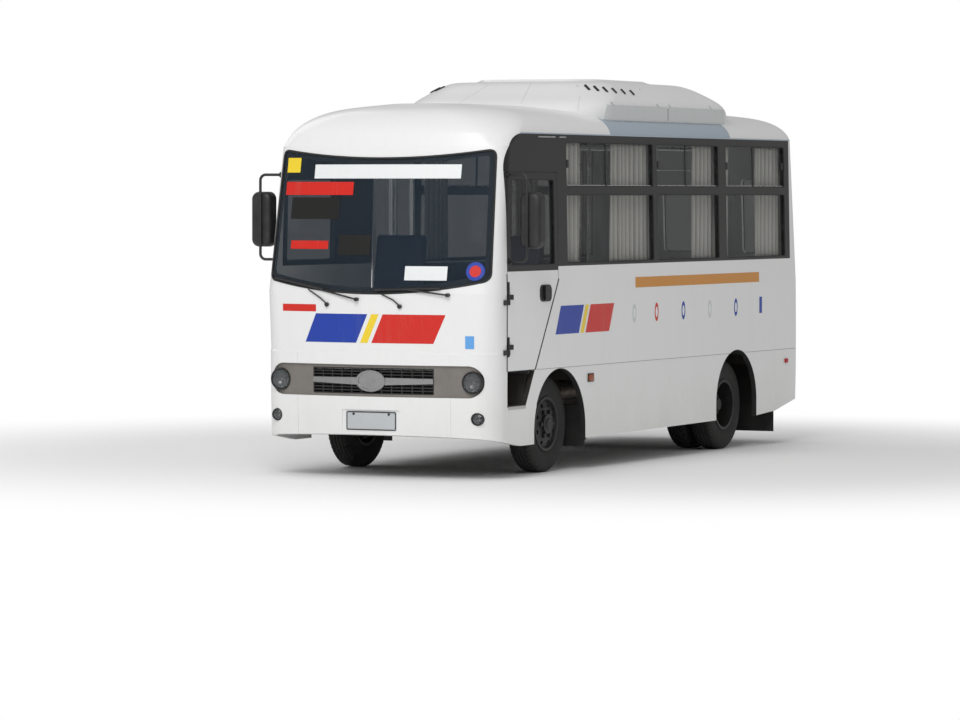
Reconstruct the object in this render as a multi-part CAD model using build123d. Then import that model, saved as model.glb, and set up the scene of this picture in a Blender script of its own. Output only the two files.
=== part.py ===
from build123d import *
import os
from math import cos, radians, sin, sqrt

os.makedirs("parts", exist_ok=True)

# Main sizes in millimetres. X is the bus's left, Y runs from the front to the rear, Z is up from the road
length = 6500
half_width = 1020
half_width_gutter = 994
wall = 45
proud_front = 21.8
proud_rear = 28.1
front = -(length + proud_rear - proud_front) / 2
rear = front + length

# Heights of the body's seams
sill_z = 250
bumper_top_z = 985
ledge = 14
waist_z = 1450
belt_z = 1650
eaves_z = 2600
gutter_z = 2700
roof_wall = 40
screen_lean = 230
rear_lean = 85
front_bow = 4130
rear_bow = 6000
gap = 6
seat_gap = 0.3

# Axles and wheels
wheel_r = 387.5
tyre_width = 190
rim_r = 205
front_axle_y = front + 1334
rear_axle_y = front + 4977
wheel_face_x = 904
twin_gap = 45
kingpin_x = 680
front_arch_r = 488
front_arch_z = 347
rear_arch_r = 452
rear_arch_z = 417

# Floor and frame
floor_z = 850
floor_t = 40
floor_low_z = floor_z - floor_t
rail_x = 345
rail_w = 60
rail_h = 180
bearer_h = 90
rail_top_z = floor_low_z - bearer_h
rail_low_z = rail_top_z - rail_h
sheet = 12


# Small makers of plain forms
def block(x0, x1, y0, y1, z0, z1):
    return Pos((x0 + x1) / 2, (y0 + y1) / 2, (z0 + z1) / 2) * Box(x1 - x0, y1 - y0, z1 - z0)


def rod_x(x0, x1, y, z, r):
    return Pos((x0 + x1) / 2, y, z) * Rot(0, 90, 0) * Cylinder(r, x1 - x0)


def rod_y(x, y0, y1, z, r):
    return Pos(x, (y0 + y1) / 2, z) * Rot(90, 0, 0) * Cylinder(r, y1 - y0)


def rod_z(x, y, z0, z1, r):
    return Pos(x, y, (z0 + z1) / 2) * Cylinder(r, z1 - z0)


def as_face(outline):
    return outline if isinstance(outline, (Sketch, Face)) else make_face(Polyline(*outline, close=True))


def side_prism(outline, x0, x1):
    """Prism along X over a face drawn in (y, z)."""
    return extrude(Plane.YZ.offset(x0) * as_face(outline), amount=x1 - x0, dir=(1, 0, 0))


def front_prism(outline, y0, y1):
    """Prism along Y over a face drawn in (x, z)."""
    plane = Plane(origin=(0, y0, 0), x_dir=(1, 0, 0), z_dir=(0, -1, 0))
    return extrude(plane * as_face(outline), amount=y1 - y0, dir=(0, 1, 0))


def rounded(a0, a1, b0, b1, r):
    """Rounded rectangle between two corners of a drawing plane."""
    return Pos((a0 + a1) / 2, (b0 + b1) / 2) * RectangleRounded(a1 - a0, b1 - b0, r)


def pipe(points, radius, bend=0):
    path = FilletPolyline(*points, radius=bend) if bend else Polyline(*points)
    return sweep(Plane(origin=path @ 0, z_dir=path % 0) * Circle(radius), path=path)


def other_side(shape):
    return mirror(shape, about=Plane.YZ)


def group(*shapes):
    """Solids that share a node and don't touch."""
    return Compound([s for shape in shapes for s in shape.solids()])


def both(shape):
    return group(shape, other_side(shape))


def spin_x(points, y, z, x0=0, side=1):
    """Turned form about an axle: outline points are (distance out along X, radius)."""
    face = make_face(Polyline(*[(side * (x0 + a), r) for a, r in points], close=True))
    return Pos(0, y, z) * revolve(Plane.XZ * face, axis=Axis.X)


parts = {}


# Body shell: plan outlines with a bowed front and rear, straight sides and tangent corners
def plan_outline(z, hw, y_front, r_front, y_rear, r_rear, bow_f, bow_r):
    def corner(y_tip, bow, r, sign):
        reach = sqrt((bow - r) ** 2 - (hw - r) ** 2)
        big_y = y_tip + sign * bow
        small_y = big_y - sign * reach
        ratio = bow / (bow - r)
        touch = Vector((hw - r) * ratio, big_y + (small_y - big_y) * ratio, z)
        out = Vector(touch.X - (hw - r), touch.Y - small_y, 0).normalized() + Vector(1, 0, 0)
        out = out.normalized()
        middle = Vector(hw - r + r * out.X, small_y + r * out.Y, z)
        return touch, middle, Vector(hw, small_y, z)

    def flip(v):
        return Vector(-v.X, v.Y, v.Z)

    f1, f2, f3 = corner(y_front, bow_f, r_front, 1)
    r1, r2, r3 = corner(y_rear, bow_r, r_rear, -1)
    return Wire(
        [
            Edge.make_three_point_arc(flip(f1), Vector(0, y_front, z), f1),
            Edge.make_three_point_arc(f1, f2, f3),
            Edge.make_line(f3, r3),
            Edge.make_three_point_arc(r3, r2, r1),
            Edge.make_three_point_arc(r1, Vector(0, y_rear, z), flip(r1)),
            Edge.make_three_point_arc(flip(r1), flip(r2), flip(r3)),
            Edge.make_line(flip(r3), flip(f3)),
            Edge.make_three_point_arc(flip(f3), flip(f2), flip(f1)),
        ]
    )


def shell_loft(rows, inset=0, drop=0, ruled=True):
    """Solid through the rows' outlines, each moved in by inset and down by drop."""
    outlines = []
    for z, hw, y_front, r_front, y_rear, r_rear in rows:
        outlines.append(
            plan_outline(
                z - drop,
                hw - inset,
                y_front + inset,
                r_front - inset,
                y_rear - inset,
                r_rear - inset,
                front_bow - inset,
                rear_bow - inset,
            )
        )
    return Solid.make_loft(outlines, ruled=ruled)


def between(row_a, row_b, z):
    """Row at height z on the straight line through two rows."""
    t = (z - row_a[0]) / (row_b[0] - row_a[0])
    return tuple(a + t * (b - a) for a, b in zip(row_a, row_b))


# Height, half width, front centre y, front corner radius, rear centre y, rear corner radius
bumper_low = (sill_z - 20, half_width, front + 22, 230, rear - 20, 110)
bumper_mid = (640, half_width, front + 4, 230, rear, 110)
ledge_low = (bumper_top_z - 5, half_width, front, 230, rear, 110)
ledge_high = (bumper_top_z + 10, half_width, front + ledge, 222, rear, 110)
waist = (waist_z, half_width, front + 10, 170, rear - 10, 110)
gutter = (gutter_z, half_width_gutter, front + 10 + screen_lean, 150, rear - 10 - rear_lean, 130)
eaves = between(waist, gutter, eaves_z)
crown_foot = (gutter_z, half_width_gutter, front + 270, 300, rear - 10 - rear_lean, 130)
wall_rows = [bumper_low, bumper_mid, ledge_low, ledge_high, waist, eaves, crown_foot]
inner_low = (sill_z - 60, half_width, front + ledge + 4, 200, rear - 22, 110)
inner_waist = (waist_z, half_width, front + ledge + 4, 175, rear - 10, 110)
inner_top = between(eaves, crown_foot, gutter_z + 60)
inner_rows = [inner_low, inner_waist, eaves, inner_top]

walls_out = shell_loft(wall_rows)
cabin = shell_loft(inner_rows, inset=wall + seat_gap)
walls = walls_out - shell_loft(inner_rows, inset=wall)

upper_rows = [between(waist, gutter, waist_z - 100), gutter]


def skin(rows, inset, thickness, prism):
    """Layer that follows the body's surface at an inset, cut to a prism."""
    return (shell_loft(rows, inset=inset) & prism) - shell_loft(rows, inset=inset + thickness)


def surface_y(x, z):
    """Front surface of the body at a place between the corners."""
    rows = [r for r in wall_rows if r[0] <= z][-1:] + [r for r in wall_rows if r[0] > z][:1]
    row = between(rows[0], rows[1], z)
    return row[2] + front_bow - sqrt(front_bow**2 - x**2)


def side_x(z):
    """Side surface of the upper body at height z."""
    return half_width - (half_width - half_width_gutter) * (z - waist_z) / (gutter_z - waist_z)


def side_slab(inset, thickness):
    """Flat layer that follows the leaning side above the waist."""
    low = side_x(waist_z) - inset
    high = side_x(gutter_z) - inset
    outline = [(low, waist_z), (high, gutter_z), (high - thickness, gutter_z), (low - thickness, waist_z)]
    return front_prism(outline, front, rear)


# Outlines on the side, as (y, z)
door_front_y = front + 357
door_rear_y = front + 1300
door_low_rear_y = front + 858
door_bottom_z = 838
door_top_z = 2400
door_bend_z = 1551
door_split_z = 1620
band_rear_y = front + 6200
post_rear_y = front + 6350
rear_low_z = 400
step_z = 560
step_rear_y = front + 690
bumper_end_y = front + 900
cap_r = gutter_z - door_top_z
reach = half_width + 100

door_outline = [
    (door_front_y, door_bottom_z),
    (door_low_rear_y, door_bottom_z),
    (door_rear_y, door_bend_z),
    (door_rear_y, door_top_z),
    (door_front_y, door_top_z),
]


def arch(y, z, r):
    """Wheel arch: a round top on straight legs."""
    return Pos(y, z) * Circle(r) + Pos(y, z - 300) * Rectangle(2 * r, 600)


arches = side_prism(arch(front_axle_y, front_arch_z, front_arch_r), -reach, reach)
arches += side_prism(arch(rear_axle_y, rear_arch_z, rear_arch_r), -reach, reach)

# Windscreen opening, as (x, z): bowed upper and lower edges
screen_top_x = 934
screen_top_z = 2574
screen_low_x = 968
screen_low_z = 1551
screen_dip = 70
screen_sag = 105
screen_corner = 60
screen_depth_y = front + 345


def screen_face(inset):
    tx = screen_top_x - inset
    lx = screen_low_x - inset
    tz = screen_top_z - inset
    lz = screen_low_z + inset
    face = make_face(
        [
            ThreePointArc((-tx, tz), (0, tz - screen_dip), (tx, tz)),
            Line((tx, tz), (lx, lz)),
            ThreePointArc((lx, lz), (0, lz - screen_sag), (-lx, lz)),
            Line((-lx, lz), (-tx, tz)),
        ]
    )
    return fillet(face.vertices(), screen_corner - inset)


# Front panel: from the bumper ledge to the gutter, with both windscreen pillars
cap_side = make_face(
    [
        Line((front - 100, gutter_z), (door_front_y + cap_r, gutter_z)),
        ThreePointArc(
            (door_front_y + cap_r, gutter_z),
            (door_front_y + cap_r * (1 - sin(radians(45))), gutter_z - cap_r * (1 - cos(radians(45)))),
            (door_front_y, door_top_z),
        ),
        Line((door_front_y, door_top_z), (door_front_y, bumper_top_z)),
        Line((door_front_y, bumper_top_z), (front - 100, bumper_top_z)),
        Line((front - 100, bumper_top_z), (front - 100, gutter_z)),
    ]
)
front_zone = side_prism(cap_side, -reach, reach)
parts["front_panel"] = walls & (front_zone - front_prism(screen_face(0), front - 100, screen_depth_y))
parts["windscreen"] = skin(upper_rows, 4, 6, front_prism(screen_face(seat_gap), front - 100, screen_depth_y))

# Front bumper, with the lamp band's slot, fog lamp holes and the plate's recess
band_x = 932
band_low_z = 640
band_high_z = 890
band_end_r = 120
band_depth = 20
lamp_x = 843
lamp_z = 761
lamp_r = 88
fog_x = 880
fog_z = 478
fog_r = 50
plate_w = 440
plate_h = 150
plate_z = 450
plate_t = 3
recess_depth = 25
bumper_side = [
    (front - 100, 346),
    (front, 346),
    (front + 230, 303),
    (front + 590, sill_z + 2),
    (bumper_end_y, sill_z + 2),
    (bumper_end_y, step_z),
    (door_front_y, step_z),
    (door_front_y, bumper_top_z),
    (front - 100, bumper_top_z),
]


def band_face(inset):
    return rounded(-band_x + inset, band_x - inset, band_low_z + inset, band_high_z - inset, band_end_r - inset)


bumper = side_prism(bumper_side, -reach, reach) - arches
bumper -= front_prism(band_face(0), front - 100, door_front_y - 60)
for side in (-1, 1):
    bumper -= rod_y(side * fog_x, front - 100, front + 300, fog_z, fog_r + seat_gap)
recess = rounded(-plate_w / 2 - 35, plate_w / 2 + 35, plate_z - plate_h / 2 - 12, plate_z + plate_h / 2 + 12, 12)
bumper -= front_prism(recess, front - 100, front + recess_depth)
seam_x = 670
seam_w = 3
seams = skin(wall_rows[:3], -1, seam_w + 1, block(seam_x, seam_x + seam_w, front - 50, front + 200, 0, bumper_top_z + 1))
parts["front_bumper"] = (walls & bumper) - both(seams)
plate = block(
    -plate_w / 2, plate_w / 2, front + recess_depth - plate_t, front + recess_depth,
    plate_z - plate_h / 2, plate_z + plate_h / 2,
)

# Lamp band: a dark inset strip with the grille opening and two lamp holes
grille_x = 531
grille_low_z = 660
grille_high_z = 866
band = front_prism(band_face(seat_gap), front - 100, door_front_y - 60)
grille_hole = rounded(-grille_x, grille_x, grille_low_z, grille_high_z, 8)
band -= front_prism(grille_hole, front - 101, front + 200)
for side in (-1, 1):
    band -= rod_y(side * lamp_x, front - 101, front + 400, lamp_z, lamp_r + seat_gap)
parts["lamp_band"] = skin(wall_rows, band_depth, 14, band)

# Grille: slats and ribs in the opening, with a bar that thickens to the middle and a plain oval disc
slat = 9
grid = rounded(
    -grille_x + seat_gap, grille_x - seat_gap, grille_low_z + seat_gap, grille_high_z - seat_gap, 8 - seat_gap
)
columns = 12
rows_count = 8
cell_w = (2 * grille_x - slat) / columns
cell_h = (grille_high_z - grille_low_z - slat) / rows_count
for i in range(columns):
    for j in range(rows_count):
        x = -grille_x + slat / 2 + (i + 0.5) * cell_w
        z = grille_low_z + slat / 2 + (j + 0.5) * cell_h
        grid -= Pos(x, z) * Rectangle(cell_w - slat, cell_h - slat)
lattice = front_prism(grid, front, front + 150)
parts["grille"] = skin(wall_rows, band_depth + 2, 14, lattice)
bar_z = lamp_z + 6
bar = make_face(
    Polyline(
        (-grille_x + 2, bar_z - 20), (0, bar_z - 40), (grille_x - 2, bar_z - 20),
        (grille_x - 2, bar_z + 20), (0, bar_z + 24), (-grille_x + 2, bar_z + 20), close=True,
    )
)
disc = Pos(0, bar_z - 4) * Ellipse(128, 84)
ring = disc - Pos(0, bar_z - 4) * Ellipse(108, 66)
bar_piece = skin(wall_rows, band_depth - 12, 13.7, front_prism(bar + disc, front - 50, front + 150))
ring_piece = skin(wall_rows, band_depth - 18, 10, front_prism(ring, front - 50, front + 150))
parts["grille_bar"] = bar_piece + ring_piece


def lamp(x, z, r, depth):
    """Round lamp facing forward: a bowl with a domed lens, just behind the body's surface."""
    y = surface_y(x, z)
    body = rod_y(x, y + 8, y + depth, z, r)
    dome = Pos(x, y + 8 + r * 1.6, z) * Sphere(r * 1.9)
    cap = dome & rod_y(x, y - 40, y + 8 + 1, z, r * 0.92)
    return body + cap


parts["front_lamps"] = group(both(lamp(lamp_x, lamp_z, lamp_r, 100)), both(lamp(fog_x, fog_z, fog_r, 90)))

# Left side: lower panel to the belt with the rear post, cut by the driver's door and the arches
crease_z = 842
crease_t = 4
panel_low = [
    (post_rear_y, rear_low_z - 12),
    (front + 5866, 300),
    (front + 5429, 276),
    (front + 4525, 272),
    (front + 1822, 256),
    (front_axle_y, 256),
    (front_axle_y, step_z),
]
side_top = [(band_rear_y, belt_z), (band_rear_y, gutter_z), (post_rear_y, gutter_z)]
left_outline = (
    [(step_rear_y, step_z), (door_low_rear_y, door_bottom_z), (door_rear_y, door_bend_z), (door_rear_y, belt_z)]
    + side_top
    + panel_low
)
crease = block(half_width - crease_t, reach, door_low_rear_y + 6, post_rear_y + 1, 0, crease_z)
parts["side_left"] = (walls & (side_prism(left_outline, 0, reach) - arches)) - crease

# Right side: no cab door, but a passenger doorway behind the front wheel
entry_front_y = front + 1900
entry_w = 760
entry_rear_y = entry_front_y + entry_w
entry_low_z = 334
entry_high_z = 2500
entry = block(-reach, -half_width + 200, entry_front_y, entry_rear_y, entry_low_z, entry_high_z)
right_outline = [(door_front_y, step_z), (door_front_y, belt_z)] + side_top + panel_low
parts["side_right"] = (walls & (side_prism(right_outline, -reach, 0) - arches - entry)) - other_side(crease)

# Window bands: black, full thickness, with a tall lower pane and two sliding lights above in each bay
pane_low_z = 1672
transom_low_z = 2220
transom_high_z = 2285
light_high_z = 2640
pane_r = 22
left_bays = [(1480, 3195), (3278, 4592), (4756, 6092)]
right_bays = [(2790, 4592), (4756, 6092)]
cab_window = (430, 1240, 1690, 2340)


def window_faces(bays, inset):
    faces = []
    for a, b in bays:
        y0 = front + a + inset
        y1 = front + b - inset
        faces.append(rounded(y0, y1, pane_low_z + inset, transom_low_z - inset, pane_r - inset))
        faces.append(rounded(y0, y1, transom_high_z + inset, light_high_z - inset, pane_r - inset))
    return faces


def cab_face(inset):
    y0, y1, z0, z1 = cab_window
    return rounded(front + y0 + inset, front + y1 - inset, z0 + inset, z1 - inset, pane_r - inset)


band_box = block(0, reach, door_front_y, band_rear_y, belt_z, gutter_z)
black_left = (walls & band_box) - front_zone - side_prism(door_outline, 0, reach)
for face in window_faces(left_bays, 0):
    black_left -= side_prism(face, half_width - 200, reach)
black_right = (walls & other_side(band_box)) - front_zone - entry
for face in window_faces(right_bays, 0) + [cab_face(0)]:
    black_right -= side_prism(face, -reach, -half_width + 200)
parts["window_bands"] = group(black_left, black_right)

glass_in = 16
glass_t = 5
glass_slab = side_slab(glass_in, glass_t)
left_glass = [glass_slab & side_prism(f, half_width - 200, reach) for f in window_faces(left_bays, seat_gap)]
right_faces = window_faces(right_bays, seat_gap) + [cab_face(seat_gap)]
right_glass = [other_side(glass_slab & side_prism(f, half_width - 200, reach)) for f in right_faces]

# Rear wall with the emergency doorway and two fixed windows
rear_door_x = 390
rear_door_low_z = 640
rear_door_high_z = 2440
rear_window = (470, 820, 1690, 2360)
rear_zone = block(-reach, reach, post_rear_y, rear + 100, rear_low_z, gutter_z)


def rear_pane(inset, side):
    x0, x1, z0, z1 = rear_window
    a, b = sorted((side * (x0 + inset), side * (x1 - inset)))
    return rounded(a, b, z0 + inset, z1 - inset, 40 - inset)


def rear_door_face(inset):
    x = rear_door_x - inset
    return rounded(-x, x, rear_door_low_z + inset, rear_door_high_z - inset, 50 - inset)


back = rear_zone - front_prism(rear_door_face(0), rear - 300, rear + 101)
for side in (-1, 1):
    back -= front_prism(rear_pane(0, side), rear - 300, rear + 101)
parts["rear_wall"] = walls & back
rear_glass = [
    skin(upper_rows, glass_in, glass_t, front_prism(rear_pane(seat_gap, side), rear - 300, rear + 100))
    for side in (-1, 1)
]
parts["window_glass"] = group(*left_glass, *right_glass, *rear_glass)

# Roof: three shells over the gutter line, split at the seams of the white caps
cap_seam_y = front + 2350
rear_seam_y = front + 4870
# Height, half width, front centre y, front corner radius, rear centre y, rear corner radius
roof_rows = [
    crown_foot,
    (2760, 972, front + 315, 380, rear - 112, 155),
    (2812, 925, front + 375, 430, rear - 138, 180),
    (2858, 845, front + 450, 450, rear - 180, 200),
    (2895, 720, front + 550, 420, rear - 250, 230),
    (2922, 520, front + 690, 330, rear - 370, 230),
    (2940, 250, front + 920, 200, rear - 600, 180),
]
roof_out = shell_loft(roof_rows, ruled=False)
roof_in_rows = [between(eaves, crown_foot, gutter_z + roof_wall - 10)] + roof_rows[1:]
roof_in = shell_loft(roof_in_rows, inset=wall, drop=roof_wall, ruled=False)
roof = roof_out - roof_in
parts["roof_front"] = roof & block(-reach, reach, front - 50, cap_seam_y, gutter_z - 1, 3000)
parts["roof_middle"] = roof & block(-reach, reach, cap_seam_y, rear_seam_y, gutter_z - 1, 3000)
parts["roof_rear"] = roof & block(-reach, reach, rear_seam_y, rear + 50, gutter_z - 1, 3000)

# Air-conditioner fairing on the roof
# Height, half width, front centre y, front corner r, rear centre y, rear corner r, front bow, rear bow
pod_rows = [
    (2800, 900, front + 2040, 450, front + 5380, 450, 3000, 3000),
    (2960, 900, front + 2110, 450, front + 5350, 450, 3000, 3000),
    (3035, 865, front + 2280, 430, front + 5170, 430, 3000, 3000),
    (3105, 790, front + 2440, 400, front + 4940, 400, 3000, 3000),
    (3155, 690, front + 2640, 340, front + 4620, 340, 3000, 3000),
    (3182, 540, front + 2860, 270, front + 4250, 270, 3000, 3000),
]
pod = Solid.make_loft([plan_outline(*row) for row in pod_rows], ruled=False)
parts["roof_pod"] = pod - roof_out

# Skirts: grey strips along both flanks of the fairing, standing off the roof
skirt_t = 10
skirt_side = [(front + 2430, 2836), (front + 2490, 2956), (front + 4950, 2956), (front + 4950, 2836)]
skirt_rows = [
    (z, hw + skirt_t, y0 - skirt_t, r0 + skirt_t, y1 + skirt_t, r1 + skirt_t, b0, b1)
    for z, hw, y0, r0, y1, r1, b0, b1 in pod_rows[:2]
]
skirt = Solid.make_loft([plan_outline(*row) for row in skirt_rows], ruled=True)
parts["pod_skirts"] = both((skirt & side_prism(skirt_side, 0, reach)) - pod - roof_out)

# Driver's door on the left, hinged at its front edge
door_face = offset(make_face(Polyline(*door_outline, close=True)), amount=-gap)
door_blank = walls & side_prism(door_face, half_width - 200, reach)
door_window = (430, 1240, 1665, 2340)


def door_pane(inset):
    y0, y1, z0, z1 = door_window
    return rounded(front + y0 + inset, front + y1 - inset, z0 + inset, z1 - inset, pane_r - inset)


split = block(0, reach, front, front + 2000, door_split_z, gutter_z)
parts["driver_door"] = door_blank - split
door_frame = (door_blank & split) - side_prism(door_pane(0), half_width - 200, reach)
parts["driver_door_glass"] = glass_slab & side_prism(door_pane(seat_gap), half_width - 200, reach)
handle_y = front + 1055
handle_z = 1441
door_handle = side_prism(
    rounded(handle_y - 45, handle_y + 45, handle_z - 60, handle_z + 60, 30), half_width, half_width + 22
)
parts["driver_door_frame"] = group(door_frame, door_handle)

# Door hinges on the front pillar, and the axis that they share
door_hinge_x = half_width + 14
door_hinge_y = door_front_y + gap / 2
hinge_zs = (1010, 1400)
hinge_r = 9
strap_h = 40
strap_gap = 1
hinge_straps = []
for z in hinge_zs:
    pin = rod_z(door_hinge_x, door_hinge_y, z - strap_h, z, hinge_r)
    strap = block(half_width + seat_gap, door_hinge_x, door_hinge_y - 75, door_hinge_y, z - strap_h, z)
    hinge_straps.append(strap + pin)
    pin = rod_z(door_hinge_x, door_hinge_y, z + strap_gap, z + strap_h, hinge_r)
    strap = block(half_width - 2, door_hinge_x, door_hinge_y + gap, door_hinge_y + 75, z + strap_gap, z + strap_h)
    link = block(half_width + 8, door_hinge_x, door_hinge_y, door_hinge_y + gap + 1, z + strap_gap, z + strap_h)
    parts["driver_door"] = parts["driver_door"] + strap + pin + link

# Emergency door at the rear, hinged on its left edge
rear_blank = front_prism(rear_door_face(gap), rear - 300, rear + 100)
rear_light = rounded(-310, 310, 1700, 2300, 40)
rear_light_glass = rounded(-310 + seat_gap, 310 - seat_gap, 1700 + seat_gap, 2300 - seat_gap, 40 - seat_gap)
rear_door = walls & (rear_blank - front_prism(rear_light, rear - 301, rear + 101))
rear_handle = block(-330, -210, rear - 30, rear + 24, 1180, 1215) - walls_out
parts["rear_door"] = rear_door + rear_handle
parts["rear_door_glass"] = skin(
    upper_rows, glass_in, glass_t, front_prism(rear_light_glass, rear - 300, rear + 100)
)
rear_hinge_x = rear_door_x - gap / 2
rear_hinge_y = rear + 12
rear_hinges = []
for z in (860, 1300):
    pin = rod_z(rear_hinge_x, rear_hinge_y, z - strap_h, z, hinge_r)
    strap = block(rear_hinge_x, rear_hinge_x + 70, rear - 20, rear_hinge_y, z - strap_h, z)
    rear_hinges.append((strap - walls_out) + pin)
    pin = rod_z(rear_hinge_x, rear_hinge_y, z + strap_gap, z + strap_h, hinge_r)
    strap = block(rear_hinge_x - 70, rear_hinge_x, rear - 20, rear_hinge_y, z + strap_gap, z + strap_h)
    parts["rear_door"] = parts["rear_door"] + (strap - walls_out) + pin
parts["door_hinges"] = group(*hinge_straps, *rear_hinges)

# Passenger door: two equal leaves that fold inward over the lower step
leaf_t = 32
leaf_out_x = -(half_width - 40)
leaf_edge = 40
leaf_gap = 10
leaf_w = (entry_w - 2 * leaf_gap - 2 * leaf_edge) / 2
leaf_low_z = entry_low_z + 11
leaf_high_z = entry_high_z - 12
pivot_y = entry_front_y + leaf_gap + leaf_edge
fold_y = pivot_y + leaf_w
joint_gap = 8
leaf_pane_z = (930, 2380)


def leaf_outline(y0, y1, nose_y):
    """Leaf with a round nose on its outer edge."""
    plank = block(leaf_out_x, leaf_out_x + leaf_t, y0, y1, leaf_low_z, leaf_high_z)
    return plank + rod_z(leaf_out_x + leaf_t / 2, nose_y, leaf_low_z, leaf_high_z, leaf_t / 2)


leaf_a = leaf_outline(pivot_y - leaf_edge + leaf_t / 2, fold_y - joint_gap, pivot_y - leaf_edge + leaf_t / 2)
leaf_b_end = fold_y + leaf_w + leaf_edge
leaf_b = leaf_outline(fold_y + joint_gap, leaf_b_end - leaf_t / 2, leaf_b_end - leaf_t / 2)
glass_x = leaf_out_x + leaf_t / 2
for name, leaf, y0, y1 in (
    ("front", leaf_a, pivot_y, fold_y - 50),
    ("rear", leaf_b, fold_y + 50, fold_y + leaf_w),
):
    z0, z1 = leaf_pane_z
    hole = rounded(y0, y1, z0, z1, 40)
    pane = rounded(y0 + seat_gap, y1 - seat_gap, z0 + seat_gap, z1 - seat_gap, 40 - seat_gap)
    leaf -= side_prism(hole, -reach, -half_width + 200)
    parts[f"entry_leaf_{name}"] = leaf
    parts[f"entry_glass_{name}"] = side_prism(pane, glass_x - glass_t / 2, glass_x + glass_t / 2)
pin_x = leaf_out_x + 10
pivot_r = 8
parts["entry_leaf_front"] += rod_z(pin_x, pivot_y, entry_low_z + seat_gap, leaf_low_z + 1, pivot_r)
parts["entry_leaf_front"] += rod_z(pin_x, pivot_y, leaf_high_z - 1, entry_high_z - seat_gap, pivot_r)
barrel_r = 6
knuckles_a = []
knuckles_b = []
for z in (600, 1350, 2250):
    for sign, knuckles in ((-1, knuckles_a), (1, knuckles_b)):
        z0, z1 = sorted((z, z + sign * 40))
        web = block(leaf_out_x, leaf_out_x + barrel_r, *sorted((fold_y, fold_y + sign * joint_gap)), z0, z1)
        knuckles.append(web + rod_z(leaf_out_x, fold_y, z0 + 0.5, z1 - 0.5, barrel_r))
for k in knuckles_a:
    parts["entry_leaf_front"] += k
for k in knuckles_b:
    parts["entry_leaf_rear"] += k

# Floor: one plate inside the walls, with boxes over the wheels, step wells and the engine hatch
hatch_x = 300
hatch_y0 = front + 520
hatch_y1 = front + 1500
box_top_z = floor_z + 80
front_box = (620, front_axle_y - 500, front_axle_y + 500)
rear_box = (450, rear_axle_y - 470, rear_axle_y + 470)
well_x = 700
entry_x = 400
floor = cabin & block(-reach, reach, front + 225, rear, floor_low_z, floor_z)
floor -= block(-hatch_x, hatch_x, hatch_y0, hatch_y1, floor_low_z - 1, floor_z + 1)
floor -= block(-reach, -entry_x, entry_front_y - sheet, entry_rear_y + sheet, floor_low_z - 1, floor_z + 1)
driver_well = [
    (door_front_y + gap, step_z),
    (step_rear_y, step_z),
    (door_low_rear_y - 18, floor_z),
    (door_front_y + gap, floor_z),
]
floor -= side_prism(driver_well, well_x, reach)
cabin_side_x = half_width - wall - seat_gap
for x0, y0, y1 in (front_box, rear_box):
    cover = block(x0, cabin_side_x, y0, y1, floor_low_z, box_top_z)
    hollow = block(x0 + sheet, reach, y0 + sheet, y1 - sheet, floor_low_z - 1, box_top_z - sheet)
    if x0 == front_box[0]:
        cover -= side_prism(driver_well, well_x - 1, reach)
    cover = both(cover)
    hollow = both(hollow)
    floor = floor - hollow
    for piece in (cover - hollow).solids():
        floor = floor + piece
parts["floor"] = floor

# Driver's step well under the door
inner_well = [
    (door_front_y + gap + sheet, step_z + sheet),
    (step_rear_y - sheet, step_z + sheet),
    (door_low_rear_y - 18 - sheet, floor_z + 1),
    (door_front_y + gap + sheet, floor_z + 1),
]
outer_well = [
    (door_front_y + gap, step_z),
    (step_rear_y - seat_gap, step_z),
    (door_low_rear_y - 18 - seat_gap, floor_z),
    (door_front_y + gap, floor_z),
]
driver_step = side_prism(outer_well, well_x, half_width - wall) - side_prism(inner_well, well_x + sheet, reach)
driver_step -= block(0, reach, front, front + 2000, floor_low_z - seat_gap, floor_z + 2)
driver_step += block(
    half_width - wall - 1, half_width - 2, door_front_y + gap, step_rear_y - seat_gap - 6, step_z, step_z + sheet
)

# Passenger steps on the right: sheet risers and treads between two end walls
first_x = 620
tread_z = 600
tread_path = [
    (-half_width + wall + seat_gap, entry_low_z - sheet),
    (-first_x + sheet, entry_low_z - sheet),
    (-first_x + sheet, tread_z - sheet),
    (-entry_x - seat_gap, tread_z - sheet),
    (-entry_x - seat_gap, floor_z),
    (-entry_x - seat_gap - sheet, floor_z),
    (-entry_x - seat_gap - sheet, tread_z),
    (-first_x, tread_z),
    (-first_x, entry_low_z),
    (-half_width + wall + seat_gap, entry_low_z),
]
steps = front_prism(tread_path, entry_front_y - sheet, entry_rear_y + sheet)
for y in (entry_front_y - sheet, entry_rear_y):
    end_wall = [
        (-half_width + wall + seat_gap, entry_low_z - sheet),
        (-first_x + sheet, entry_low_z - sheet),
        (-first_x + sheet, tread_z - sheet),
        (-entry_x - seat_gap, tread_z - sheet),
        (-entry_x - seat_gap, floor_z),
        (-half_width + wall + seat_gap, floor_z),
    ]
    steps += front_prism(end_wall, y, y + sheet)
parts["step_wells"] = group(driver_step, steps)

# Chassis: channel rails, cross members and floor bearers
rail_y0 = front + 250
rail_y1 = front + 6300
rail_face = [
    (rail_x - rail_w / 2, rail_low_z),
    (rail_x + rail_w / 2, rail_low_z),
    (rail_x + rail_w / 2, rail_top_z),
    (rail_x - rail_w / 2, rail_top_z),
    (rail_x - rail_w / 2, rail_top_z - 10),
    (rail_x + rail_w / 2 - 10, rail_top_z - 10),
    (rail_x + rail_w / 2 - 10, rail_low_z + 10),
    (rail_x - rail_w / 2, rail_low_z + 10),
]
rail = front_prism(rail_face, rail_y0, rail_y1)
chassis = rail + block(-rail_x - 20, rail_x + 20, front + 300, front + 360, rail_low_z + 60, rail_top_z - 20)
chassis += other_side(rail)
for d in (2300, 3200, 4200, 5500, 6240):
    chassis += block(-rail_x - 20, rail_x + 20, front + d, front + d + 60, rail_low_z + 90, rail_top_z - 10)
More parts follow.
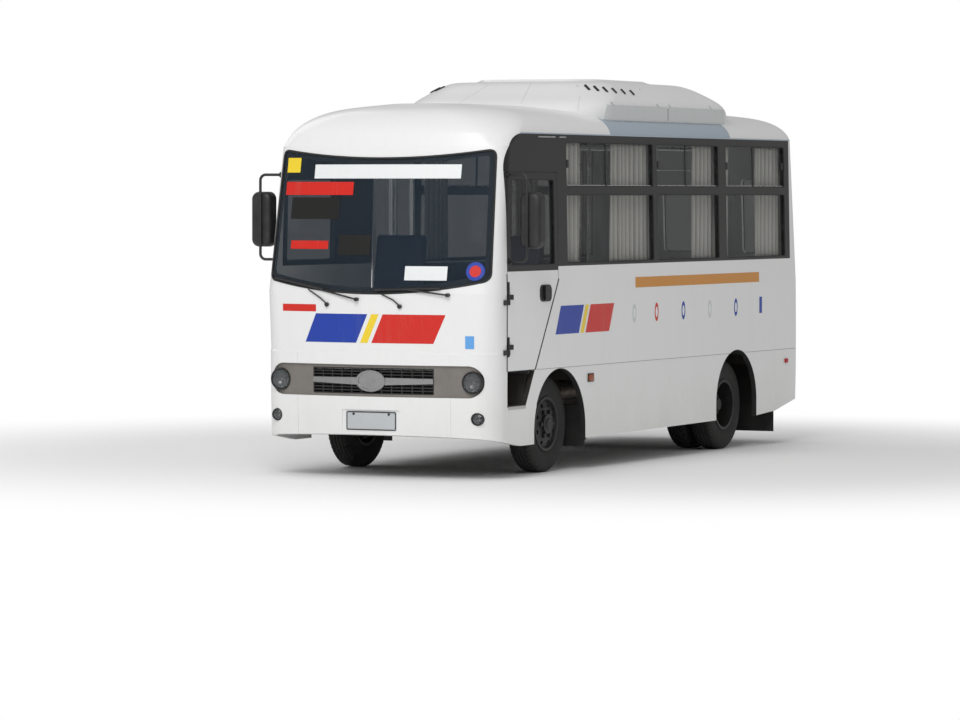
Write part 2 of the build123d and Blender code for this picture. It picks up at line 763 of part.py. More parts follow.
for d in (1830, 2790, 3500, 4330, 5530, 6180):
    chassis += cabin & block(-reach, reach, front + d, front + d + 50, rail_top_z, floor_low_z - seat_gap)
hitch_w = 160
hitch_l = 90
hitch_r = 7
hitch_y = rail_y1 - 100
chassis += block(-rail_x - 20, rail_x + 20, hitch_y - 70, hitch_y + 70, rail_low_z, rail_low_z + 12)
for sx in (-1, 1):
    for sy in (-1, 1):
        hole = rod_z(sx * hitch_w / 2, hitch_y + sy * hitch_l / 2, rail_low_z - 10, rail_low_z + 30, hitch_r)
        chassis -= hole

# Leaf springs under the rails, with hangers on the frame
leaf_width = 64
pack_t = 40
front_pad_z = 385
rear_pad_z = wheel_r + 62
eye_r = 22
springs = []
for y, half, pad_z, eye_z in (
    (front_axle_y, 550, front_pad_z, rail_low_z - 42),
    (rear_axle_y, 620, rear_pad_z, rail_low_z - 30),
):
    low = ThreePointArc((y - half, eye_z - pack_t / 2), (y, pad_z), (y + half, eye_z - pack_t / 2))
    high = ThreePointArc((y - half, eye_z + pack_t / 2), (y, pad_z + pack_t), (y + half, eye_z + pack_t / 2))
    face = make_face([low, Line(low @ 1, high @ 1), high, Line(high @ 0, low @ 0)])
    leaf = side_prism(face, rail_x - leaf_width / 2, rail_x + leaf_width / 2)
    for s in (-1, 1):
        leaf += rod_x(rail_x - leaf_width / 2, rail_x + leaf_width / 2, y + s * half, eye_z, eye_r)
        hanger = block(
            rail_x - rail_w / 2, rail_x + rail_w / 2, y + s * half - 30, y + s * half + 30,
            eye_z + eye_r + seat_gap, rail_low_z + 5,
        )
        chassis += hanger
        chassis += other_side(hanger)
    springs.append(leaf)
parts["chassis_frame"] = chassis
parts["leaf_springs"] = both(group(*springs))

# Engine and gearbox as plain blocks, with the cover inside the cab
engine = block(-260, 260, front + 560, front + 1440, 430, 1000)
engine += block(-170, 170, front + 1439, front + 2060, 430, 700)
mounts = block(260 - 1, rail_x + rail_w / 2 - 10 - seat_gap, front + 900, front + 980, 600, 660)
parts["engine"] = engine + mounts + other_side(mounts)
cover_top_z = 1130
hump = block(-hatch_x - 30, hatch_x + 30, hatch_y0 - 30, hatch_y1 + 30, floor_z + seat_gap, cover_top_z)
hump = fillet(hump.edges().group_by(Axis.Z)[-1], 60)
hump -= block(-hatch_x, hatch_x, hatch_y0, hatch_y1, floor_z - 1, cover_top_z - 20)

# Propeller shaft between gearbox and rear axle
axle_z = wheel_r
shaft_r = 40
flange_z = 560
diff_r = 175
shaft_y0 = front + 2060 + seat_gap
shaft_y1 = rear_axle_y - diff_r - 45
shaft = pipe([(0, shaft_y0, flange_z), (0, shaft_y1, axle_z + 20)], shaft_r)
shaft = shaft & block(-100, 100, shaft_y0 + 1, shaft_y1 + 10, 0, 1000)

# Rear axle: a tube with the differential bulb
bulb = Pos(0, rear_axle_y, axle_z) * Sphere(diff_r)
bulb = bulb & block(-150, 150, rear_axle_y - 150, rear_axle_y + 150, axle_z - 170, axle_z + 170)
axle = rod_x(-490, 490, rear_axle_y, axle_z, 60) + bulb + shaft
axle += rod_y(0, shaft_y1, rear_axle_y - 100, axle_z + 20, 60)
axle += rod_x(-600, 600, rear_axle_y, axle_z, 30)
for s in (-1, 1):
    axle += block(
        s * rail_x - leaf_width / 2, s * rail_x + leaf_width / 2, rear_axle_y - 60, rear_axle_y + 60,
        axle_z, rear_pad_z - seat_gap,
    )
parts["rear_axle"] = axle

# Front axle: a dropped beam with an eye for each kingpin
eye_low_z = 325
eye_high_z = 450
pin_r = 18
beam_pts = [(-660, 340), (-560, 340), (-480, 270), (480, 270), (560, 340), (660, 340)]
beam_top = [(660, 435), (540, 435), (430, front_pad_z - seat_gap), (-430, front_pad_z - seat_gap), (-540, 435), (-660, 435)]
beam = front_prism(beam_pts + beam_top, front_axle_y - 32, front_axle_y + 32)
for s in (-1, 1):
    beam += rod_z(s * kingpin_x, front_axle_y, eye_low_z, eye_high_z, 32)
for s in (-1, 1):
    beam -= rod_z(s * kingpin_x, front_axle_y, eye_low_z - 1, eye_high_z + 1, pin_r + seat_gap)
parts["front_axle"] = beam

# Steering knuckle: a fork on the kingpin, a spindle, a back plate and a steering arm
arm_len = 190
arm_z0 = 290
web_x0 = kingpin_x + 38
hub_bore = 24
knuckle = block(web_x0, web_x0 + 14, front_axle_y - 42, front_axle_y + 42, arm_z0, 490)
for z0, z1 in ((arm_z0, eye_low_z - 5), (eye_high_z + 5, 490)):
    knuckle += block(kingpin_x, web_x0 + 2, front_axle_y - 32, front_axle_y + 32, z0, z1)
    knuckle += rod_z(kingpin_x, front_axle_y, z0, z1, 32)
knuckle += rod_z(kingpin_x, front_axle_y, arm_z0, 490, pin_r)
knuckle += rod_x(web_x0 + 10, 860, front_axle_y, axle_z, hub_bore)
knuckle += rod_x(web_x0 + 2, web_x0 + 10, front_axle_y, axle_z, 150)
knuckle += block(kingpin_x - 15, kingpin_x + 15, front_axle_y + 20, front_axle_y + arm_len, arm_z0, arm_z0 + 25)
knuckle += rod_z(kingpin_x, front_axle_y + arm_len, arm_z0, arm_z0 + 25, 22)
knuckle -= rod_z(kingpin_x, front_axle_y + arm_len, arm_z0 - 1, arm_z0 + 26, 9 + seat_gap)
parts["knuckle_left"] = knuckle
parts["knuckle_right"] = other_side(knuckle)
rod_z_place = arm_z0 - 22
tie = rod_x(-kingpin_x, kingpin_x, front_axle_y + arm_len, rod_z_place, 14)
for s in (-1, 1):
    tie += rod_z(s * kingpin_x, front_axle_y + arm_len, rod_z_place - 19, rod_z_place + 16, 17)
    tie += rod_z(s * kingpin_x, front_axle_y + arm_len, rod_z_place, arm_z0 + 30, 9)
parts["tie_rod"] = tie

# Wheels. Tyre outline: bead, bulged side wall, shoulder and slightly crowned tread
bead = 22


def tyre(x_inner, y, side):
    w = tyre_width
    pts = [
        ThreePointArc((bead, rim_r), (0, 300), (14, wheel_r - 17)),
        Line((14, wheel_r - 17), (26, wheel_r - 4)),
        ThreePointArc((26, wheel_r - 4), (w / 2, wheel_r), (w - 26, wheel_r - 4)),
        Line((w - 26, wheel_r - 4), (w - 14, wheel_r - 17)),
        ThreePointArc((w - 14, wheel_r - 17), (w, 300), (w - bead, rim_r)),
        Line((w - bead, rim_r), (bead, rim_r)),
    ]
    shape = revolve(Plane.XZ * make_face(pts), axis=Axis.X)
    shape = Pos(x_inner, y, axle_z) * shape
    return shape if side > 0 else other_side(shape)


rim_out = rim_r - seat_gap
flange_r = 218
barrel_in = 196
front_rim = [
    (6, flange_r), (14, flange_r), (14, rim_out), (176, rim_out), (176, flange_r), (184, flange_r),
    (184, barrel_in), (160, barrel_in - 6), (178, 130), (180, 60), (168, 60), (166, 128), (148, barrel_in - 8),
    (6, barrel_in),
]
front_hub = [
    (36, 30), (36, 70), (60, 70), (60, 140), (21, 140), (21, 156), (72, 156), (72, 80), (200, 80), (200, 50),
    (212, 40), (212, 0), (155, 0), (155, hub_bore + seat_gap), (36, hub_bore + seat_gap),
]
rear_outer = [
    (6, flange_r), (14, flange_r), (14, rim_out), (176, rim_out), (176, flange_r), (184, flange_r),
    (184, barrel_in), (34, barrel_in), (-10, 150), (-14, 90), (-22.5, 90), (-22.5, 156), (14, barrel_in + 3),
    (6, barrel_in + 4),
]
tyre_inner_x = wheel_face_x - tyre_width
twin_inner_x = tyre_inner_x - twin_gap - tyre_width
twin_mid_x = tyre_inner_x - twin_gap / 2
hand_holes = 8
for side, word in ((1, "left"), (-1, "right")):
    parts[f"tyre_front_{word}"] = tyre(tyre_inner_x, front_axle_y, side)
    rim = spin_x(front_rim, front_axle_y, axle_z, tyre_inner_x)
    hub = spin_x(front_hub, front_axle_y, axle_z, tyre_inner_x)
    rim = rim + hub
    for i in range(hand_holes):
        a = radians(360 / hand_holes * (i + 0.5))
        rim -= rod_x(
            tyre_inner_x + 100, wheel_face_x + 20, front_axle_y + 158 * cos(a), axle_z + 158 * sin(a), 17
        )
    parts[f"rim_front_{word}"] = rim if side > 0 else other_side(rim)
    parts[f"tyres_rear_{word}"] = group(tyre(tyre_inner_x, rear_axle_y, side), tyre(twin_inner_x, rear_axle_y, side))
    outer_rim = spin_x(rear_outer, rear_axle_y, axle_z, tyre_inner_x)
    inner_rim = spin_x([(-a, r) for a, r in rear_outer], rear_axle_y, axle_z, twin_mid_x - twin_gap / 2)
    rear_hub = [
        (500, 30 + seat_gap), (500, 160), (660, 160), (660, 110), (700, 110), (700, 92), (820, 92), (830, 60),
        (850, 50), (850, 0), (610, 0), (610, 30 + seat_gap),
    ]
    twin = outer_rim + inner_rim + spin_x(rear_hub, rear_axle_y, axle_z)
    parts[f"rims_rear_{word}"] = twin if side > 0 else other_side(twin)

# Dashboard and steering column, then the steering wheel that turns on it
wheel_x = 500
dash = side_prism(
    [
        (front + 150, 1250), (front + 150, 1420), (front + 330, 1430), (front + 520, 1390),
        (front + 560, 1330), (front + 500, 1180), (front + 420, 1080), (front + 300, 1080),
    ],
    -reach, reach,
)
lower_dash = block(-reach, reach, front + 60, front + 260, floor_z + seat_gap, 1300)
tilt = radians(28)
wheel_centre = Vector(wheel_x, front + 780, 1425)
column_dir = Vector(0, sin(tilt), cos(tilt))
column_top = wheel_centre - column_dir * 56
column_low = wheel_centre - column_dir * 780
column = pipe([tuple(column_low), tuple(column_top)], 34)
column = column & block(0, reach, front, front + 1500, floor_z + seat_gap, 2000)
shaft_low = wheel_centre - column_dir * 120
column -= pipe([tuple(shaft_low - column_dir * 5), tuple(column_top + column_dir)], 12 + seat_gap / 5)
parts["cab_trim"] = group(((dash + lower_dash) & cabin) + column, hump)
grip_r = 220
ring_plane = Plane(origin=wheel_centre, x_dir=(1, 0, 0), z_dir=column_dir)
grip = ring_plane * Torus(grip_r, 15)
boss = ring_plane * Pos(0, 0, -25) * Cylinder(48, 60)
wheel = grip + boss + pipe([tuple(shaft_low), tuple(column_top + column_dir * 10)], 12)
for angle in (90, 210, 330):
    a = radians(angle)
    wheel += ring_plane * Rot(0, 0, angle) * Pos(grip_r / 2, 0, -4) * Box(grip_r, 26, 12)
parts["steering_wheel"] = wheel

# Cab seats: a boxed base, a cushion and a leaning back
seat_w = 440
bases = []
cushions = []
for x in (530, -530):
    base = block(x - 190, x + 190, front + 1080, front + 1535, box_top_z + 1, 1130)
    base += Pos(x, front + 1545, 1600) * Rot(-10, 0, 0) * Pos(0, 45 + seat_gap + 5, -120) * Box(320, 10, 720)
    foot = block(x - 190, x + 80, front + 1080, front + 1480, floor_z + seat_gap, box_top_z + 2)
    if x < 0:
        foot = block(x - 80, x + 190, front + 1080, front + 1480, floor_z + seat_gap, box_top_z + 2)
    bases.append(base + foot)
    cushion = block(x - seat_w / 2, x + seat_w / 2, front + 1030, front + 1495, 1130 + seat_gap, 1260)
    cushions.append(fillet(cushion.edges(), 30))
    lean = Pos(x, front + 1545, 1600) * Rot(-10, 0, 0) * Box(seat_w, 90, 580)
    cushions.append(fillet(lean.edges(), 30))

# Benches along both sides: panel and top board on legs, with cushions and backrests in three lengths
bench_in_x = 560
bench_top_z = 1225
rest_high_z = 1640
rest_x = side_x(rest_high_z - 22) - wall - seat_gap
bench_spans = {"left": [(1950, 3330), (3360, 4740), (4770, 6150)], "right": [(2800, 4460), (4490, 6150)]}
for word, side in (("left", 1), ("right", -1)):
    spans = bench_spans[word]
    y0 = front + spans[0][0]
    y1 = front + spans[-1][1]
    bench = block(bench_in_x, cabin_side_x, y0, y1, bench_top_z - 30, bench_top_z)
    bench += block(bench_in_x + 20, bench_in_x + 40, y0, y1, floor_z + seat_gap, bench_top_z - 29)
    for a, b in spans:
        for y in (front + a, front + b - 30):
            bench += block(bench_in_x + 20, cabin_side_x, y, y + 30, floor_z + seat_gap, bench_top_z - 29)
    x0, ya, yb = rear_box
    bench -= block(x0 - 5, reach, ya - seat_gap, yb + seat_gap, floor_z - 5, box_top_z + seat_gap)
    pads = []
    backs = []
    for a, b in spans:
        pad = block(bench_in_x - 10, cabin_side_x - 45, front + a + 5, front + b - 5, bench_top_z + seat_gap, 1300)
        pads.append(fillet(pad.edges(), 25))
        rest = block(rest_x - 54, rest_x, front + a + 5, front + b - 5, 1320, rest_high_z)
        backs.append(fillet(rest.edges(), 22))
    bases.append(bench if side > 0 else other_side(bench))
    cushions += [p if side > 0 else other_side(p) for p in pads + backs]
parts["seat_frames"] = group(*bases)
parts["seat_cushions"] = group(*cushions)

# Curtains on a rod above the side windows
rod_r = 7
rod_z_c = 2655
cloth_t = 40
curtain_low_z = 1660
rods = []
cloths = []
for word, side, spans in (
    ("left", 1, [(1470, 1900), (2500, 3450), (4200, 5000), (5600, 6180)]),
    ("right", -1, [(2780, 3200), (4200, 5000), (5600, 6180)]),
):
    rod_x_c = cabin_side_x - 55
    y0 = front + spans[0][0] - 20
    y1 = front + spans[-1][1] + 10
    rail_piece = rod_y(rod_x_c, y0, y1, rod_z_c, rod_r)
    for y in (y0, y1 - 8):
        rail_piece += cabin & block(rod_x_c, reach, y, y + 8, rod_z_c - 10, rod_z_c + 10)
    rods.append(rail_piece if side > 0 else other_side(rail_piece))
    for a, b in spans:
        cloth = block(
            rod_x_c - cloth_t / 2, rod_x_c + cloth_t / 2, front + a, front + b,
            curtain_low_z, rod_z_c - rod_r - seat_gap,
        )
        cloths.append(cloth if side > 0 else other_side(cloth))
parts["curtains"] = group(*cloths)

# Handrails: two ceiling tubes on drops from the roof, and poles from the bench fronts
rail_r = 16
ceiling_x = 350
ceiling_z = 2620
rails = rod_y(ceiling_x, front + 1950, front + 6050, ceiling_z, rail_r)
for d in (2000, 3330, 4660, 5990):
    drop = roof_in & rod_z(ceiling_x, front + d, gutter_z, 2950, 12)
    rails += rod_z(ceiling_x, front + d, ceiling_z, gutter_z + 1, 12)
    rails += drop
for d in (3330, 4660):
    rails += rod_z(ceiling_x, front + d, floor_z + seat_gap, ceiling_z, rail_r - 2)
parts["handrails"] = group(both(rails), *rods)

# Fuel tank on the right rail, exhaust on the left
tank = block(-820, -rail_x - rail_w / 2 - seat_gap, front + 3000, front + 3800, 380, 680)
parts["fuel_tank"] = fillet(tank.edges().filter_by(Axis.Y), 50)
muffler_x = rail_x + rail_w / 2 + 90 + seat_gap
muffler_z = 620
exhaust = rod_y(muffler_x, front + 2350, front + 3250, muffler_z, 90)
exhaust += pipe(
    [(muffler_x, front + 3240, muffler_z), (muffler_x, front + 3600, muffler_z), (780, front + 3900, 400),
     (960, front + 3900, 400)], 26, 80,
)
exhaust += pipe(
    [(muffler_x, front + 2360, muffler_z), (muffler_x, front + 2100, muffler_z - 20),
     (430, front + 1800, 500), (430, front + 1300, 480), (260 + seat_gap, front + 1300, 480)], 24, 80,
)
parts["exhaust"] = exhaust

# Mudflaps behind the rear wheels
flap_y = front + 5830
parts["mudflaps"] = both(block(485, 930, flap_y, flap_y + 8, 115, floor_low_z - seat_gap))

# Rear bumper, lamps and plate
bar_out = 28
bar_low_z = 440
bar_high_z = 580
bumper_bar = shell_loft(wall_rows, inset=-bar_out) - walls_out
bumper_bar = bumper_bar & block(-900, 900, rear - 200, rear + 100, bar_low_z, bar_high_z)
parts["rear_bumper"] = bumper_bar
marker_t = 13
lens_skin = shell_loft(wall_rows, inset=-9) - walls_out
tail = lens_skin & front_prism(rounded(790, 900, 700, 1080, 30), rear - 200, rear + 100)
panel_x = half_width - crease_t
marker_left = side_prism(rounded(front + 1887, front + 1957, 720, 760, 18), panel_x, panel_x + marker_t)
marker_right = side_prism(rounded(front + 1790, front + 1860, 720, 760, 18), panel_x, panel_x + marker_t)
marker_rear = side_prism(rounded(front + 6080, front + 6130, 720, 750, 14), panel_x, panel_x + marker_t)
parts["signal_lamps"] = group(both(tail), marker_left, other_side(marker_right), both(marker_rear))
plate_back = between(bumper_low, bumper_mid, bar_high_z)[4] + bar_out + seat_gap
rear_plate = block(-plate_w / 2, plate_w / 2, plate_back, plate_back + plate_t - seat_gap, bar_low_z, bar_high_z)
parts["number_plates"] = group(plate, rear_plate)

# Wipers: pivots below the glass, arms and blades lying along its lower edge
blades = []
clear_hull = shell_loft(wall_rows, inset=-seat_gap)
wiper_rows = [
    # pivot x, pivot z, blade end x, blade end z, blade other end x, other z
    (-118, 1400, -900, 1560, -420, 1475),
    (653, 1440, 40, 1475, 590, 1490),
]
for px, pz, ax, az, bx, bz in wiper_rows:
    pivot_piece = rod_y(px, surface_y(px, pz) - 34, surface_y(px, pz) + 20, pz, 15) - clear_hull
    mx = (ax + bx) / 2
    mz = (az + bz) / 2
    arm = pipe([(px, surface_y(px, pz) - 27, pz), (mx, surface_y(mx, mz) - 24, mz)], 7)
    blade_ends = [(x, surface_y(x, z) - 18, z) for x, z in ((ax, az), (mx, mz), (bx, bz))]
    blade = pipe(blade_ends, 9)
    blades.append(pivot_piece + arm + blade)
parts["wipers"] = group(*blades)

# Mirrors: an upright tube on two arms, and a tall head
mirror_x = 1180
mirror_y = front + 372
arm_low_z = 1700
arm_high_z = 2375
tube_r = 11


def mirror_set():
    arms = pipe(
        [
            (side_x(arm_low_z) + 4, mirror_y + 30, arm_low_z),
            (mirror_x, mirror_y, arm_low_z),
            (mirror_x, mirror_y, arm_high_z),
            (side_x(arm_high_z) + 4, mirror_y + 30, arm_high_z),
        ],
        tube_r, 45,
    )
    head = block(1100, 1280, mirror_y + 14, mirror_y + 120, 1800, 2240)
    head = fillet(head.edges().filter_by(Axis.Y), 60)
    head = fillet(head.faces().sort_by(Axis.Y)[0].edges(), 40)
    for z in (arm_low_z, arm_high_z):
        arms += rod_x(side_x(z) - 5, side_x(z) + 14, mirror_y + 30, z, 22) - clear_hull
    head += block(mirror_x - 8, mirror_x + 8, mirror_y, mirror_y + 60, 1900, 1950)
    head += block(mirror_x - 8, mirror_x + 8, mirror_y, mirror_y + 60, 2100, 2150)
    return arms + head


parts["mirror_left"] = mirror_set()
parts["mirror_right"] = other_side(mirror_set())

for name, shape in parts.items():
    export_step(shape, f"parts/{name}.step")
print(len(parts), "nodes")
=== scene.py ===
import math
import random

import bmesh
import bpy
from mathutils import Matrix, Vector


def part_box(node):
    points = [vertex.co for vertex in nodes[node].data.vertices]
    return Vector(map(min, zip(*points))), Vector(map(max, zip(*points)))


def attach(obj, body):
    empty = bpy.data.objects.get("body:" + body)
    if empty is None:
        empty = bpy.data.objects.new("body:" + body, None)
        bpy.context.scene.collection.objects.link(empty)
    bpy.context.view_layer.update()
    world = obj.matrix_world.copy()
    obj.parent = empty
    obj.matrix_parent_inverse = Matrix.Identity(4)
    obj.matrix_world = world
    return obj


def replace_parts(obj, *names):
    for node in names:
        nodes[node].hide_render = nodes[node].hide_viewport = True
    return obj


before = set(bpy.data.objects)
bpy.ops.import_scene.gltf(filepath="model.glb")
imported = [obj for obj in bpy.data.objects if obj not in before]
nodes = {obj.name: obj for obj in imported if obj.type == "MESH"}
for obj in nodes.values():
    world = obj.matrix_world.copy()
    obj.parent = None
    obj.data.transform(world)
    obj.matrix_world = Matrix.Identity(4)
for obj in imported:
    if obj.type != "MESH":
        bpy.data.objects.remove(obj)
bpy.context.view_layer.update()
print("frame loaded", len(nodes))

# The body's own surfaces, so that films and trims lie on them
shell = {
    "frontY": -3.25315,
    "halfWidth": 1.02,
    "gutterHalf": 0.994,
    "waistZ": 1.45,
    "gutterZ": 2.70,
    "frontBow": 4.13,
    "rearY": 6.5,
    "rearIn": 0.010,
    "rearLean": 0.085,
    "rearBow": 6.0,
    # height, setback of the front's middle, corner radius
    "frontRows": [
        (0.23, 0.022, 0.23),
        (0.64, 0.004, 0.23),
        (0.98, 0.0, 0.23),
        (0.995, 0.014, 0.222),
        (1.45, 0.010, 0.17),
        (2.70, 0.240, 0.15),
    ],
}


def sideX(z):
    drop = max(0.0, (z - shell["waistZ"]) / (shell["gutterZ"] - shell["waistZ"]))
    return shell["halfWidth"] - (shell["halfWidth"] - shell["gutterHalf"]) * drop


def frontSurface(x, z):
    # Distance of the bowed, leaning front with its rounded corners
    rows = shell["frontRows"]
    low = [r for r in rows if r[0] <= z][-1]
    high = ([r for r in rows if r[0] > z] or [rows[-1]])[0]
    t = 0.0 if high is low else (z - low[0]) / (high[0] - low[0])
    setback = low[1] + t * (high[1] - low[1])
    corner = low[2] + t * (high[2] - low[2])
    half, bow = sideX(z), shell["frontBow"]
    tip = shell["frontY"] + setback
    reach = math.sqrt((bow - corner) ** 2 - (half - corner) ** 2)
    touch = (half - corner) * bow / (bow - corner)
    if abs(x) <= touch:
        return tip + bow - math.sqrt(bow**2 - x**2)
    side = min(abs(x) - (half - corner), corner * 0.999)
    return tip + bow - reach - math.sqrt(corner**2 - side**2)


def along(distance):
    return shell["frontY"] + distance


def rearSurface(x, z):
    lean = shell["rearLean"] * (z - shell["waistZ"]) / (shell["gutterZ"] - shell["waistZ"])
    bow = shell["rearBow"] - math.sqrt(shell["rearBow"] ** 2 - x * x)
    return along(shell["rearY"]) - shell["rearIn"] - lean - bow


bothSides = ((1, "left"), (-1, "right"))


# Shared shader groups
def addNode(tree, kind, links=(), **values):
    node = tree.nodes.new(kind)
    for key, value in values.items():
        setattr(node, key, value)
    for socket, source in links:
        if isinstance(source, bpy.types.NodeSocket):
            tree.links.new(source, node.inputs[socket])
        else:
            node.inputs[socket].default_value = source
    return node


def mixColor(tree, factor, first, second):
    return addNode(tree, "ShaderNodeMix", [(0, factor), (6, first), (7, second)], data_type="RGBA").outputs[2]


def mapRange(tree, value, low, high, toLow=0.0, toHigh=1.0):
    ends = {"Value": value, "From Min": low, "From Max": high, "To Min": toLow, "To Max": toHigh}
    return addNode(tree, "ShaderNodeMapRange", ends.items()).outputs["Result"]


def mathNode(tree, operation, first, second=0.0, clamp=False):
    node = addNode(tree, "ShaderNodeMath", [(0, first), (1, second)], operation=operation, use_clamp=clamp)
    return node.outputs[0]


def times(tree, first, second, clamp=False):
    return mathNode(tree, "MULTIPLY", first, second, clamp)


def plus(tree, first, second):
    return mathNode(tree, "ADD", first, second)


def noise(tree, place, scale, detail, rough=0.5):
    links = [("Vector", place), ("Scale", scale), ("Detail", detail), ("Roughness", rough)]
    return addNode(tree, "ShaderNodeTexNoise", links).outputs["Fac"]


def newSurface(name, inputs):
    # A group that turns a place and its own inputs into colour, roughness and height
    group = bpy.data.node_groups.new(name, "ShaderNodeTree")
    group.interface.new_socket("Place", in_out="INPUT", socket_type="NodeSocketVector")
    for label, value in inputs.items():
        kind = "NodeSocketFloat" if isinstance(value, float) else "NodeSocketColor"
        group.interface.new_socket(label, in_out="INPUT", socket_type=kind).default_value = value
    for label, kind in (("Color", "Color"), ("Roughness", "Float"), ("Height", "Float")):
        group.interface.new_socket(label, in_out="OUTPUT", socket_type="NodeSocket" + kind)
    return group, group.nodes.new("NodeGroupInput").outputs, group.nodes.new("NodeGroupOutput").inputs


def giveOut(group, out, *sources):
    for label, source in zip(("Color", "Roughness", "Height"), sources):
        group.links.new(source, out[label])
    return group


dust = {
    "ground": 0.2, "blotch": 2.3, "streaks": (9.0, 9.0, 0.7), "streak": 1.6, "streakShare": 0.22,
    "speck": 55.0, "speckShare": 0.08, "wave": 3.1, "peel": 420.0, "peelShare": 0.03,
}


def makeRoadDust():
    # Road dust on paint: thick near the ground, thin streaks above, faint smudges all over
    group, given, out = newSurface("roadDust", {
        "Clean": (0.8, 0.8, 0.8, 1), "Dust": (0.3, 0.26, 0.2, 1),
        "Top": 0.9, "Amount": 0.5, "Smooth": 0.2, "Rough": 0.6,
    })
    place = given["Place"]
    height = addNode(group, "ShaderNodeSeparateXYZ", [(0, place)]).outputs["Z"]
    fall = mapRange(group, height, dust["ground"], given["Top"], 1.0, 0.0)
    blotch = noise(group, place, dust["blotch"], 6.0, 0.6)
    stretched = addNode(group, "ShaderNodeMapping", [("Vector", place), ("Scale", dust["streaks"])]).outputs[0]
    streak = mapRange(group, noise(group, stretched, dust["streak"], 4.0, 0.6), 0.52, 0.78)
    speck = mapRange(group, noise(group, place, dust["speck"], 2.0, 0.7), 0.6, 0.8)
    mask = times(group, fall, mapRange(group, blotch, 0.25, 0.7))
    mask = plus(group, mask, times(group, streak, dust["streakShare"]))
    mask = plus(group, mask, times(group, speck, dust["speckShare"]))
    mask = times(group, mask, given["Amount"], clamp=True)
    rough = plus(group, mask, times(group, blotch, 0.12))
    wave = times(group, noise(group, place, dust["wave"], 1.0), 0.8)
    peel = times(group, noise(group, place, dust["peel"], 1.0), dust["peelShare"])
    return giveOut(
        group, out, mixColor(group, mask, given["Clean"], given["Dust"]),
        mapRange(group, rough, 0.0, 0.9, given["Smooth"], given["Rough"]), plus(group, wave, peel),
    )


mottle = {"size": 7.0, "edges": (0.35, 0.75)}


def makeMoulded():
    # Moulded plastic, rubber, iron and steel: mottled colour, fine grain
    group, given, out = newSurface("mouldedGrain", {
        "Base": (0.1, 0.1, 0.1, 1), "Worn": (0.2, 0.2, 0.2, 1),
        "Grain": 600.0, "Amount": 0.4, "Smooth": 0.4, "Rough": 0.7,
    })
    patches = mapRange(group, noise(group, given["Place"], mottle["size"], 6.0, 0.65), *mottle["edges"])
    mask = times(group, patches, given["Amount"])
    return giveOut(
        group, out, mixColor(group, mask, given["Base"], given["Worn"]),
        mapRange(group, patches, 0.0, 1.0, given["Smooth"], given["Rough"]),
        noise(group, given["Place"], given["Grain"], 2.0, 0.6),
    )


# Painted shade in the pleats: the share and the near-black colour that the cloth is darkened towards deep in a pleat
weave = {"fade": 3.0, "depth": 0.62, "pleatShadeColor": (0.10, 0.10, 0.09, 1)}


def makeWoven():
    # Plain weave on the piece's own UV map, in threads per metre; the last input is 0 deep in a pleat, where the
    # cloth's colour is darkened as painted shade
    group, given, out = newSurface("plainWeave", {
        "Thread": (0.6, 0.6, 0.6, 1), "Gap": (0.3, 0.3, 0.3, 1),
        "Threads": 900.0, "Smooth": 0.8, "Rough": 0.95, "PleatShading": 1.0,
    })
    links = [(0, given["Place"]), ("Scale", given["Threads"])]
    flat = addNode(group, "ShaderNodeVectorMath", links, operation="SCALE")
    spread = addNode(group, "ShaderNodeSeparateXYZ", [(0, flat.outputs[0])])
    warp, weft = (
        mathNode(group, "ABSOLUTE", mathNode(group, "SINE", times(group, spread.outputs[axis], 3.1416)))
        for axis in "XY"
    )
    both = mathNode(group, "MAXIMUM", warp, weft)
    fade = mapRange(group, noise(group, given["Place"], weave["fade"], 5.0, 0.6), 0.3, 0.75, 0.75, 1.0)
    mask = times(group, mapRange(group, both, 0.35, 0.95), fade)
    cloth = mixColor(group, mask, given["Gap"], given["Thread"])
    # Painted shade: the cloth colour darkened for the pleats' recesses
    deep = mixColor(group, weave["depth"], cloth, weave["pleatShadeColor"])
    return giveOut(
        group, out, mixColor(group, given["PleatShading"], deep, cloth),
        mapRange(group, mask, 0.0, 1.0, given["Rough"], given["Smooth"]), both,
    )


roadDust = makeRoadDust()
moulded = makeMoulded()
woven = makeWoven()
mats = {}


def finish(name, group, values, bump=0.1, distance=0.001, place="Object", **shader):
    # values: the group's inputs in their order, after the place
    material = bpy.data.materials.new(name)
    material.use_nodes = True
    tree = material.node_tree
    principled = tree.nodes["Principled BSDF"]
    inner = tree.nodes.new("ShaderNodeGroup")
    inner.node_tree = group
    coordinates = tree.nodes.new("ShaderNodeTexCoord")
    tree.links.new(coordinates.outputs[place], inner.inputs["Place"])
    labels = [item.name for item in group.interface.items_tree if item.in_out == "INPUT"][1:]
    for label, value in zip(labels, values):
        inner.inputs[label].default_value = value if isinstance(value, float) else (*value, 1.0)
    height = [("Strength", bump), ("Distance", distance), ("Height", inner.outputs["Height"])]
    relief = addNode(tree, "ShaderNodeBump", height)
    tree.links.new(inner.outputs["Color"], principled.inputs["Base Color"])
    tree.links.new(inner.outputs["Roughness"], principled.inputs["Roughness"])
    tree.links.new(relief.outputs[0], principled.inputs["Normal"])
    for key, value in shader.items():
        principled.inputs[key.replace("_", " ")].default_value = value
    mats[name] = material


